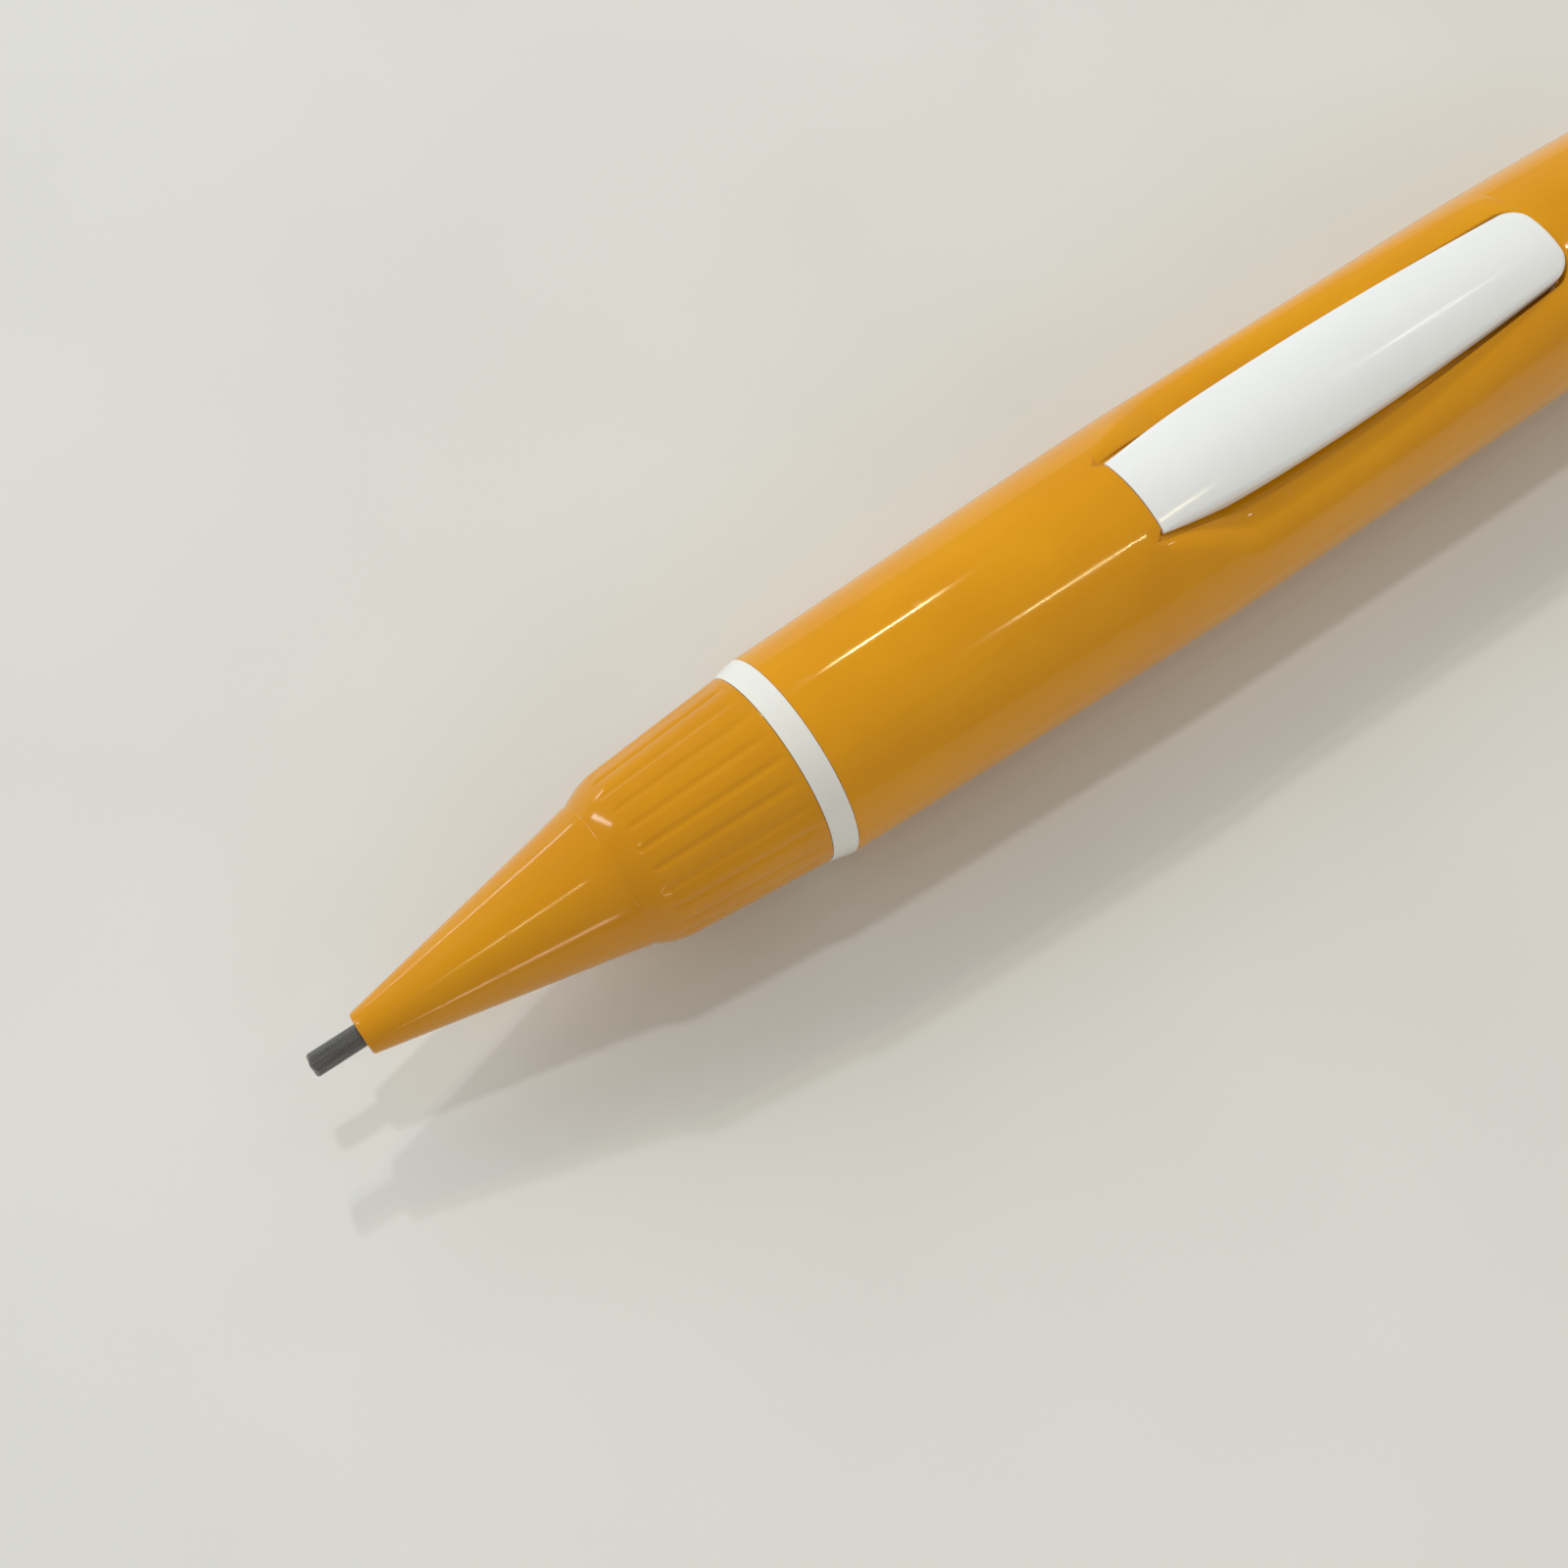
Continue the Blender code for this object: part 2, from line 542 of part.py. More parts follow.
def build_button(material, parent):
    """The push button: open in front for the lead tube and at the rear for the eraser."""
    front_bore, rear_bore, ease = TUBE_RADIUS + 0.25, ERASER_RADIUS + 0.15, 0.2
    outline = [(BUTTON_FLOOR_REAR, 0.0), (BUTTON_FLOOR_REAR, rear_bore), (BUTTON_REAR, rear_bore)]
    outline += [(BUTTON_REAR, BUTTON_RADIUS - 2.0 * ease), (BUTTON_REAR - 0.15, BUTTON_RADIUS - 0.15)]
    outline += [(BUTTON_REAR - 0.6, BUTTON_RADIUS), (BUTTON_FRONT + ease, BUTTON_RADIUS)]
    outline += [(BUTTON_FRONT, BUTTON_RADIUS - ease), (BUTTON_FRONT, front_bore)]
    outline += [(BUTTON_FLOOR_FRONT, front_bore), (BUTTON_FLOOR_FRONT, 0.0)]
    turned("push_button", outline, 30, material, parent, BUTTON_FRONT)


def build_eraser(material, parent):
    """The eraser, a plug with a rounded end."""
    outline = [(ERASER_FRONT, 0.0), (ERASER_FRONT, ERASER_RADIUS), (LENGTH - 0.7, ERASER_RADIUS)]
    outline += [(LENGTH - 0.2, ERASER_RADIUS - 0.2), (LENGTH, ERASER_RADIUS - 0.65), (LENGTH, 0.0)]
    turned("eraser", outline, 30, material, parent, ERASER_FRONT)


def main():
    clear_scene()
    look = {
        "orange": plain_material("orange_plastic", (0.86, 0.36, 0.015), 0.18),
        "white": plain_material("white_plastic", (0.83, 0.84, 0.81), 0.22),
        "natural": plain_material("natural_plastic", (0.72, 0.73, 0.70), 0.4),
        "graphite": plain_material("graphite", (0.07, 0.07, 0.068), 0.4, 0.3),
        "rubber": plain_material("black_rubber", (0.03, 0.03, 0.03), 0.8),
        "eraser": plain_material("eraser_vinyl", (0.86, 0.86, 0.84), 0.7),
        "brass": plain_material("brass", (0.78, 0.57, 0.24), 0.3, 1.0),
        "steel": plain_material("spring_steel", (0.6, 0.6, 0.61), 0.28, 1.0),
    }
    axis = frame("pencil_axis", None, (0.0, 0.0, 0.0))
    ring = frame("ring_frame", axis, (GRIP_REAR, 0.0, 0.0))
    nose = frame("nose_frame", ring, (GRIP_REAR, 0.0, 0.0))
    clip = frame("clip_hinge", axis, (CLIP_HINGE[0], 0.0, CLIP_HINGE[1]))
    pusher = frame("pusher_frame", axis, (JAW_REAR, 0.0, 0.0))
    clutch = frame("clutch_frame", axis, (CLUTCH_FRONT, 0.0, 0.0))
    lead = frame("lead_frame", axis, (0.0, 0.0, 0.0))
    button = frame("button_frame", pusher, (BUTTON_FRONT, 0.0, 0.0))
    eraser = frame("eraser_frame", button, (ERASER_FRONT, 0.0, 0.0))
    jaws = []
    for index in range(JAW_COUNT):
        pivot = on_circle(JAW_REAR, JAW_PIVOT_RADIUS, 360.0 / JAW_COUNT * index)
        jaws.append(frame(f"jaw_hinge_{index + 1}", pusher, pivot))

    build_barrel(look["orange"], axis)
    build_clip(look["white"], clip)
    build_nose(look["orange"], nose)
    build_trim_ring(look["white"], ring)
    build_nose_inserts(look, nose)
    build_chuck_jaws(look["brass"], jaws)
    build_clutch_ring(look["brass"], clutch)
    build_sleeve(look["natural"], axis)
    build_connector(look["natural"], axis)
    build_spring(look["steel"], axis)
    stem = tube_outline(JAW_REAR + 0.3, STEM_REAR, STEM_RADIUS, STEM_BORE)
    turned("chuck_stem", stem, 18, look["brass"], pusher, JAW_REAR)
    build_coupler(look["natural"], pusher)
    tube = tube_outline(TUBE_FRONT, TUBE_REAR, TUBE_RADIUS, TUBE_BORE)
    turned("lead_tube", tube, 24, look["natural"], pusher, TUBE_FRONT)
    build_leads(look["graphite"], lead, pusher)
    build_bush(look["white"], axis)
    build_button(look["white"], button)
    build_eraser(look["eraser"], eraser)


main()
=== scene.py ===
"""Looks of the mechanical pencil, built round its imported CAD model.

The pencil lies along X, with its writing point towards -X and its clip on top.  Shapes are drawn in
millimetres: a station is a distance along the pencil's axis, counted from the point of the lead,
and a height is counted from that axis.
"""

import math

import bmesh
import bpy
import numpy as np
from mathutils import Matrix, Vector


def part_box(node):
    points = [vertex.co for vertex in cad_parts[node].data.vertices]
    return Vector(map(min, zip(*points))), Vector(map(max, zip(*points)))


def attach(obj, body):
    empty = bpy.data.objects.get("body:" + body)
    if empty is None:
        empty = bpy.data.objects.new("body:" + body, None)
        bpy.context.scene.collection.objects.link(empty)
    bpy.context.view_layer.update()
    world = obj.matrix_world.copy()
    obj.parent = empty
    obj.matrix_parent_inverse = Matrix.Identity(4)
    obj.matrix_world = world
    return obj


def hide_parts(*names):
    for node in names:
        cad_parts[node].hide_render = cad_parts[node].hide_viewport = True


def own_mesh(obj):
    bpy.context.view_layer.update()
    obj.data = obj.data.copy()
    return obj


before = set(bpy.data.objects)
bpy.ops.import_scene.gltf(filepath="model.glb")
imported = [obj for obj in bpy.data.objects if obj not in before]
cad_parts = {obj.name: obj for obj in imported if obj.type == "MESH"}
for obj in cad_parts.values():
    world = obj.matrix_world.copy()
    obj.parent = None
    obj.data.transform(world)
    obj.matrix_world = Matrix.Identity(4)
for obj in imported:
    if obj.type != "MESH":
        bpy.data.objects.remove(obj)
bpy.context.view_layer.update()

MM = 0.001

# Places and sizes that come from the frame ----------------------------------------------------
LEAD_LOW, LEAD_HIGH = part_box("lead")
TIP = Vector((LEAD_LOW.x, 0.0, 0.5 * (LEAD_LOW.z + LEAD_HIGH.z)))    # point of the lead, on the axis


def span(node):
    """First and last station of a CAD node."""
    low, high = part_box(node)
    return (low.x - TIP.x) / MM, (high.x - TIP.x) / MM


def half_width(node):
    low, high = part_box(node)
    return 0.5 * (high.y - low.y) / MM


BARREL_FRONT, BARREL_REAR = span("barrel")
NOSE_FRONT, NOSE_REAR = span("nose_cone")
CLIP_FRONT, CLIP_REAR = span("clip")
SPRING_FRONT, SPRING_REAR = span("return_spring")
BUSH_FRONT, BUSH_REAR = span("rear_bush")
BUTTON_FRONT, BUTTON_REAR = span("push_button")
ERASER_FRONT, ERASER_REAR = span("eraser")
LEAD_LENGTH = span("lead")[1]

CAD_SIDES = 36                         # the CAD barrel is a 36-sided prism
BARREL_RADIUS = half_width("barrel") / math.cos(math.pi / CAD_SIDES)
CLIP_HALF_WIDTH = half_width("clip")
CLIP_CROWN = (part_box("clip")[1].z - TIP.z) / MM
LEAD_RADIUS = 0.65

# Shape of the barrel, its recess and the clip -------------------------------------------------
FULL_FROM, FULL_TO = 56.0, 80.0        # where the barrel has its full radius
FRONT_DROP, FRONT_POWER = 0.74, 1.25   # how much radius it loses towards an end, and how suddenly
REAR_DROP, REAR_POWER = 0.92, 1.6
WALL_BORE, FRONT_BORE, REAR_BORE = 3.5, 5.6, 4.9
FRONT_BORE_END, REAR_BORE_START = 49.0, 84.0

RECESS_FRONT = CLIP_FRONT - 0.05
RECESS_WALL_HEIGHT, RECESS_FLOOR = 5.9, 4.6
RECESS_WALL_SLOPE, RECESS_WALL_CURVE = 0.1, 0.034
RECESS_FLOOR_END, RECESS_RAMP_TOP = 66.0, 83.0
RECESS_SOFTNESS = 0.3                  # how much its corners are rounded along the pencil
LAND_DROP, LAND_RADIUS = 0.42, 12.0
RECESS_EDGE = 1.6                      # rounding of the edge between recess and round barrel
SCOOP_SPREAD, SCOOP_REACH = 2.6, 0.85  # how far the front wall runs forward beside the clip's toe
WALL_LEAN = 0.02                       # how far it leans forward behind the toe
BARREL_EDGE = 0.08                     # rounding of the barrel's two end edges

CLIP_CROSS_RADIUS = 6.0
CLIP_UNDERSIDE, CLIP_TOE = 5.2, 5.95
CLIP_TOE_END = 56.0                    # from here back the clip has its full depth
CLIP_RISE_END = 57.0                   # from here back it stands proud of the round barrel
CLIP_SETTLE, CLIP_SETTLE_FROM, CLIP_SETTLE_TO = 0.6, 72.0, 82.0    # share of that rise lost at the rear
CLIP_CORNER = 1.2
CLIP_EDGE, CLIP_UNDER_EDGE = 0.3, 0.1  # rounding of its upper and lower edges
TONGUE_FRONT, TONGUE_REAR = 78.6, 81.4
TONGUE_HALF_WIDTH, TONGUE_FOOT = 1.6, 3.8
POCKET_GAP, POCKET_FLOOR, POCKET_RIM = 0.25, 4.9, 0.12
POCKET_UNDER_TOE = 0.06                # clearance between the clip's toe and the pocket's floor
SLOT_GAP, SLOT_FLOOR = 0.3, 3.6

# What is cut into the top of a section; the number is also how many rim roundings its edge falls
NO_POCKET, REAR_RIM, POCKET = 0, 1, 2

# Shape of the nose ----------------------------------------------------------------------------
CONE_TIP_RADIUS, CONE_SLOPE = 1.2, 0.207
SHOULDER_FRONT, SHOULDER_REAR = 17.75, 20.0
GRIP_FRONT, GRIP_REAR = 20.2, 28.1
GRIP_FRONT_RADIUS, GRIP_REAR_RADIUS = 5.08, 5.8
FLUTES = 25
FLUTE_DEPTH, FLUTE_START_DEPTH = 0.07, 0.17    # on the grip, and where it cuts into the shoulder
FLUTE_SHARE = 0.5                      # how much of its pitch a flute takes up
FLUTE_EXIT = 1.6                       # length over which a flute runs out before the ring
THREAD_CREST, THREAD_ROOT, THREAD_PITCH = 4.45, 4.25, 1.0
THREAD_FRONT = 31.2
NOSE_BORES = ((19.5, 3.5), (13.4, 2.75), (8.8, 1.95), (NOSE_FRONT, 0.8))   # front end and radius

# How finely the shapes are divided ------------------------------------------------------------
EASE_STEPS = 5                         # straight pieces that make up a rounded corner
LARGEST_EASE = 0.45                    # share of a side that its corner's rounding may take
ARC_POINTS, TOP_POINTS, SLOT_POINTS = 61, 9, 7     # across one side of the barrel
BARREL_STEP, RECESS_STEP, REAR_STEP = 0.95, 0.45, 0.9    # along it
POINTS_PER_FLUTE = 14


# Small helpers --------------------------------------------------------------------------------
def blend(value, start, stop):
    """0 at start, 1 at stop, straight between and level outside."""
    return np.clip((value - start) / (stop - start), 0.0, 1.0)


def soft_max(a, b, softness):
    return 0.5 * (a + b + np.sqrt((a - b) ** 2 + softness ** 2))


def soft_min(a, b, softness):
    return 0.5 * (a + b - np.sqrt((a - b) ** 2 + softness ** 2))


def stations(start, stop, step):
    """Evenly spaced stations no further apart than step, both ends included."""
    return np.linspace(start, stop, max(1, math.ceil((stop - start) / step - 1e-6)) + 1)


def grid_mesh(name, rings, closed=False, sharp_above=32.0):
    """A named mesh object from rings of (station, y, height) points, each joined to the next.

    A closed one also joins its last ring to its first, like a tube's wall."""
    rings = np.asarray(rings, float)
    count, around = rings.shape[:2]
    corners = rings.reshape(-1, 3) * MM + np.array(TIP)
    i = np.arange(count if closed else count - 1)[:, None]
    j = np.arange(around)[None, :]
    near, far = i * around, (i + 1) % count * around
    nxt = (j + 1) % around
    faces = np.stack([near + j, near + nxt, far + nxt, far + j], -1).reshape(-1, 4)
    mesh = bpy.data.meshes.new(name)
    mesh.from_pydata(corners.tolist(), [], faces.tolist())
    return finished(name, mesh, sharp_above)


def finished(name, mesh, sharp_above):
    """Weld coincident points, face everything outwards and shade it smooth up to an angle."""
    bm = bmesh.new()
    bm.from_mesh(mesh)
    bmesh.ops.remove_doubles(bm, verts=bm.verts, dist=2e-7)
    bmesh.ops.dissolve_degenerate(bm, edges=bm.edges, dist=1e-8)
    bmesh.ops.recalc_face_normals(bm, faces=bm.faces)
    bm.to_mesh(mesh)
    bm.free()
    mesh.shade_smooth()
    mesh.set_sharp_from_angle(angle=math.radians(sharp_above))
    piece = bpy.data.objects.new(name, mesh)
    bpy.context.collection.objects.link(piece)
    return piece


def angles(sides):
    return np.linspace(0.0, 2.0 * math.pi, sides, endpoint=False)


def turned_rings(outline, sides):
    """Rings of points round the axis from an outline of (station, radius)."""
    s, r = np.asarray(outline, float).T[:, :, None]
    turn = angles(sides)[None, :]
    return np.stack([s + 0.0 * turn, -r * np.sin(turn), r * np.cos(turn)], -1)


def eased(corners):
    """A closed outline with its corners rounded; each corner is (station, radius, rounding)."""
    points = []
    for k, (s, r, size) in enumerate(corners):
        here = np.array((s, r))
        arms = [np.array(corners[n % len(corners)][:2]) - here for n in (k - 1, k + 1)]
        reach = [min(size / np.linalg.norm(arm), LARGEST_EASE) for arm in arms]
        if size == 0.0:
            points.append(here)
            continue
        start, end = here + arms[0] * reach[0], here + arms[1] * reach[1]
        for t in np.linspace(0.0, 1.0, EASE_STEPS + 1):
            points.append((1 - t) ** 2 * start + 2 * t * (1 - t) * here + t * t * end)
    return np.array(points)


def turned_solid(name, corners, sides):
    """A solid turned round the axis; its outline starts and ends on the axis."""
    return grid_mesh(name, turned_rings(eased(corners), sides))


def turned_tube(name, corners, sides):
    """A ring or tube turned round the axis from a closed outline."""
    return grid_mesh(name, turned_rings(eased(corners), sides), closed=True)


# Barrel ---------------------------------------------------------------------------------------
def barrel_radius(station):
    """Outer radius of the round barrel: full in the middle, slimmer at both ends."""
    front = np.maximum((FULL_FROM - station) / (FULL_FROM - BARREL_FRONT), 0.0)
    rear = np.maximum((station - FULL_TO) / (BARREL_REAR - FULL_TO), 0.0)
    return BARREL_RADIUS - FRONT_DROP * front ** FRONT_POWER - REAR_DROP * rear ** REAR_POWER


def recess_surface(station, y):
    """Height of the recess: a front wall that slopes to a level floor, a ramp, and a crowned land."""
    along = np.maximum(station - RECESS_FRONT, 0.0)
    wall = RECESS_WALL_HEIGHT - RECESS_WALL_SLOPE * along - RECESS_WALL_CURVE * along ** 2
    top = barrel_radius(RECESS_RAMP_TOP) - LAND_DROP
    climb = (top - RECESS_FLOOR) / (RECESS_RAMP_TOP - RECESS_FLOOR_END)
    ramp = RECESS_FLOOR + climb * (station - RECESS_FLOOR_END)
    height = soft_max(soft_max(wall, RECESS_FLOOR, RECESS_SOFTNESS), ramp, RECESS_SOFTNESS)
    height = soft_min(height, barrel_radius(station) - LAND_DROP, 0.5 * RECESS_SOFTNESS)
    bend = blend(station, RECESS_FLOOR_END, RECESS_RAMP_TOP - 1.0) / LAND_RADIUS
    return height - 0.5 * bend * y * y


def recess_half_width(station):
    """Where the recess meets the round barrel, found by halving."""
    low, high = 0.0, float(barrel_radius(station)) - 0.01
    for _ in range(40):
        middle = 0.5 * (low + high)
        circle = math.sqrt(barrel_radius(station) ** 2 - middle ** 2)
        if circle > recess_surface(station, middle):
            low = middle
        else:
            high = middle
    return low


def clip_half_width(station):
    """Half the clip's width seen from above: widest a little ahead of its middle."""
    widest, front_loss, rear_loss = 65.0, 0.62, 0.66
    ahead = blend(station, widest, CLIP_FRONT)
    behind = blend(station, widest, CLIP_REAR)
    return CLIP_HALF_WIDTH - front_loss * ahead ** 3 - rear_loss * behind ** 1.6


def outline_half_width(station, grow):
    """Half width of the clip's outline grown by a gap, with its rounded rear corners."""
    radius = CLIP_CORNER + grow
    into_corner = station - (CLIP_REAR + grow - radius)
    width = clip_half_width(min(station, CLIP_REAR)) + grow
    if into_corner <= 0.0:
        return width
    return width - radius + math.sqrt(max(radius ** 2 - into_corner ** 2, 0.0))


def circle_height(station, y):
    return np.sqrt(barrel_radius(station) ** 2 - y ** 2)


def barrel_top(station):
    """The function that gives the height of the barrel's top side at a station."""
    return recess_surface if station >= RECESS_FRONT else circle_height


def barrel_section(station, pocket=NO_POCKET, slot=False):
    """One side of the barrel's section, as (y, height) from underneath to the middle of the top.

    pocket says what is cut into its top, and slot whether the tongue's slot is open there."""
    top = barrel_top(station)
    edge = recess_half_width(max(station, RECESS_FRONT))
    radius = float(barrel_radius(station))
    shape_at = max(station, CLIP_FRONT)
    rim_outer = outline_half_width(shape_at, POCKET_GAP + POCKET_RIM)
    ease = min(RECESS_EDGE, 0.85 * (edge - rim_outer))
    edge_turn = math.asin(min(edge / radius, 1.0))
    arc_turns = np.linspace(math.pi, edge_turn + ease / radius, ARC_POINTS)
    points = [(radius * math.sin(a), radius * math.cos(a)) for a in arc_turns]
    start = np.array(points[-1])
    inner = edge - ease
    end = np.array((inner, top(station, inner)))
    corner = np.array((edge, float(circle_height(station, edge))))
    for t in np.linspace(0.0, 1.0, EASE_STEPS + 1)[1:]:
        points.append(tuple((1 - t) ** 2 * start + 2 * t * (1 - t) * corner + t * t * end))
    for y in np.linspace(inner, rim_outer, TOP_POINTS)[1:-1]:
        points.append((y, float(top(station, y))))
    past_end = station - (CLIP_REAR + POCKET_GAP)
    for t in np.linspace(0.0, 1.0, EASE_STEPS):
        grow = POCKET_RIM * (1 - t) ** 2
        y = outline_half_width(shape_at, POCKET_GAP + grow)
        reach = max(grow, past_end)
        points.append((y, float(top(station, y)) - pocket_drop(station, y, reach, pocket)))
    wall = outline_half_width(shape_at, POCKET_GAP)
    slot_edge = TONGUE_HALF_WIDTH + SLOT_GAP
    for y in (wall, 0.5 * (wall + min(wall, slot_edge)), min(wall, slot_edge)):
        points.append((y, pocket_height(station, y, past_end, pocket)))
    for y in min(wall, slot_edge) * np.linspace(1.0, 0.0, SLOT_POINTS):
        height = pocket_height(station, y, past_end, pocket)
        points.append((y, SLOT_FLOOR if slot else height))
    return points


def pocket_floor(station):
    """Height of the pocket's floor, which rises with the clip's underside towards its toe."""
    toe_floor = CLIP_TOE - POCKET_UNDER_TOE
    return toe_floor + (POCKET_FLOOR - toe_floor) * blend(station, CLIP_FRONT, CLIP_TOE_END)


def pocket_drop(station, y, reach, pocket):
    """How far the rounded rim has fallen at a distance outside the pocket's wall."""
    depth = max(float(recess_surface(station, y)) - pocket_floor(station), 0.0)
    t = 1.0 - math.sqrt(min(max(reach, 0.0) / POCKET_RIM, 1.0))
    return pocket * min(POCKET_RIM, 0.5 * depth) * t * t


def pocket_height(station, y, past_end, pocket):
    """Height inside the pocket's outline: its floor, or the rim behind its end."""
    if pocket == NO_POCKET:
        return float(barrel_top(station)(station, y))
    land = float(recess_surface(station, y))
    if past_end > -1e-6 and pocket == REAR_RIM:
        return land - pocket_drop(station, y, past_end, REAR_RIM)
    return min(land, pocket_floor(station))


def mirrored(station, points):
    """A whole ring from one side's (y, height) points."""
    half = np.array(points)
    right = np.column_stack([np.full(len(half), station), half])
    left = right[-2:0:-1] * (1.0, -1.0, 1.0)
    return np.vstack([right, left])


def front_wall_rings():
    """The recess's front wall: upright behind the clip's toe, a smooth scoop on either side of it."""
    above = np.array(barrel_section(RECESS_FRONT - 1e-6))
    below = np.array(barrel_section(RECESS_FRONT))
    drop = np.maximum(above[:, 1] - below[:, 1], 0.0)
    toe = clip_half_width(CLIP_FRONT)
    beside_toe = blend(above[:, 0], toe + 0.02, toe + 0.2)
    reach = WALL_LEAN + np.minimum(SCOOP_SPREAD * drop, SCOOP_REACH) * beside_toe
    reach[drop < 1e-6] = 0.0
    rings = []
    for t in np.linspace(0.0, 1.0, 9):
        fallen = drop * t * t * (3.0 - 2.0 * t)
        ring = mirrored(RECESS_FRONT, np.column_stack([above[:, 0], above[:, 1] - fallen]))
        back = reach * (1.0 - t)
        ring[:, 0] -= np.concatenate([back, back[-2:0:-1]])
        rings.append(ring)
    return rings


def barrel_rings():
    """Outside of the barrel from its front edge to its rear edge."""
    rings = []
    edge = BARREL_EDGE
    for t in np.linspace(0.0, 1.0, EASE_STEPS):
        station = BARREL_FRONT + edge * t * t
        ring = mirrored(station, barrel_section(station))
        ring[:, 1:] *= 1.0 - edge * (1 - t) ** 2 / BARREL_RADIUS
        rings.append(ring)
    for s in stations(BARREL_FRONT + 0.5, RECESS_FRONT - BARREL_STEP, BARREL_STEP):
        rings.append(mirrored(s, barrel_section(s)))
    rings += front_wall_rings()
    slot_front, slot_rear = TONGUE_FRONT - SLOT_GAP, TONGUE_REAR + SLOT_GAP
    pocket_end = CLIP_REAR + POCKET_GAP
    corner = CLIP_CORNER + POCKET_GAP
    for s in stations(RECESS_FRONT + 0.15, slot_front, RECESS_STEP):
        rings.append(mirrored(s, barrel_section(s, POCKET)))
    for s in stations(slot_front, pocket_end - corner, RECESS_STEP):
        rings.append(mirrored(s, barrel_section(s, POCKET, True)))
    for turn in np.linspace(0.0, math.pi / 2, 19)[1:]:
        s = pocket_end - corner + corner * math.sin(turn)
        rings.append(mirrored(s, barrel_section(s, POCKET, s < slot_rear)))
    for t in np.linspace(1.0, 0.0, EASE_STEPS + 1):
        s = pocket_end + POCKET_RIM * (1 - t) ** 2
        rings.append(mirrored(s, barrel_section(s, REAR_RIM)))
    for s in stations(pocket_end + 0.4, BARREL_REAR - 0.4, REAR_STEP):
        rings.append(mirrored(s, barrel_section(s)))
    for t in np.linspace(1.0, 0.0, EASE_STEPS):
        station = BARREL_REAR - edge * t * t
        ring = mirrored(station, barrel_section(station))
        ring[:, 1:] *= 1.0 - edge * (1 - t) ** 2 / BARREL_RADIUS
        rings.append(ring)
    return rings


def bore_rings(like):
    """Inside of the barrel, from rear to front, its points at the same turns as the ring given."""
    turn = np.arctan2(like[:, 1], like[:, 2])
    steps = [(BARREL_REAR, REAR_BORE), (REAR_BORE_START, REAR_BORE), (REAR_BORE_START, WALL_BORE)]
    steps += [(FRONT_BORE_END, WALL_BORE), (FRONT_BORE_END, FRONT_BORE), (BARREL_FRONT, FRONT_BORE)]
    return [np.column_stack([np.full(len(turn), s), r * np.sin(turn), r * np.cos(turn)])
            for s, r in steps]


def build_barrel():
    outside = barrel_rings()
    return grid_mesh("barrel_shell", outside + bore_rings(outside[-1]), closed=True)


# Clip -----------------------------------------------------------------------------------------
def clip_top(station, y):
    """Height of the clip's crowned top."""
    flush = barrel_radius(station) + 0.03
    rise = (CLIP_CROWN - BARREL_RADIUS) * blend(station, CLIP_FRONT, CLIP_RISE_END)
    ridge = flush + rise * (1.0 - CLIP_SETTLE * blend(station, CLIP_SETTLE_FROM, CLIP_SETTLE_TO))
    return ridge - CLIP_CROSS_RADIUS + np.sqrt(CLIP_CROSS_RADIUS ** 2 - y ** 2)


def clip_bottom(station):
    return CLIP_TOE + (CLIP_UNDERSIDE - CLIP_TOE) * blend(station, CLIP_FRONT, CLIP_TOE_END)


def clip_outline():
    """Points round the clip seen from above, as (station, y), starting at a front corner."""
    side = list(stations(CLIP_FRONT, CLIP_REAR - CLIP_CORNER, 0.5))
    corner_turns = np.linspace(0, math.pi / 2, 13)[1:]
    corner = [CLIP_REAR - CLIP_CORNER * (1 - math.sin(a)) for a in corner_turns]
    right = [(s, outline_half_width(s, 0.0)) for s in side + corner]
    end = right[-1][1]
    rear = [(CLIP_REAR, y) for y in np.linspace(end, -end, 10)[1:-1]]
    left = [(s, -y) for s, y in reversed(right)]
    front = [(CLIP_FRONT, y) for y in np.linspace(-right[0][1], right[0][1], 16)[1:-1]]
    return np.array(right + rear + left + front)


def inset(outline, distance):
    """The outline moved inwards; distance is one value, or one for each point."""
    ahead = np.roll(outline, -1, 0) - outline
    behind = outline - np.roll(outline, 1, 0)
    along = ahead / np.linalg.norm(ahead, axis=1)[:, None]
    along += behind / np.linalg.norm(behind, axis=1)[:, None]
    along /= np.linalg.norm(along, axis=1)[:, None]
    inwards = np.column_stack([along[:, 1], -along[:, 0]])
    return outline + inwards * np.reshape(distance, (-1, 1))


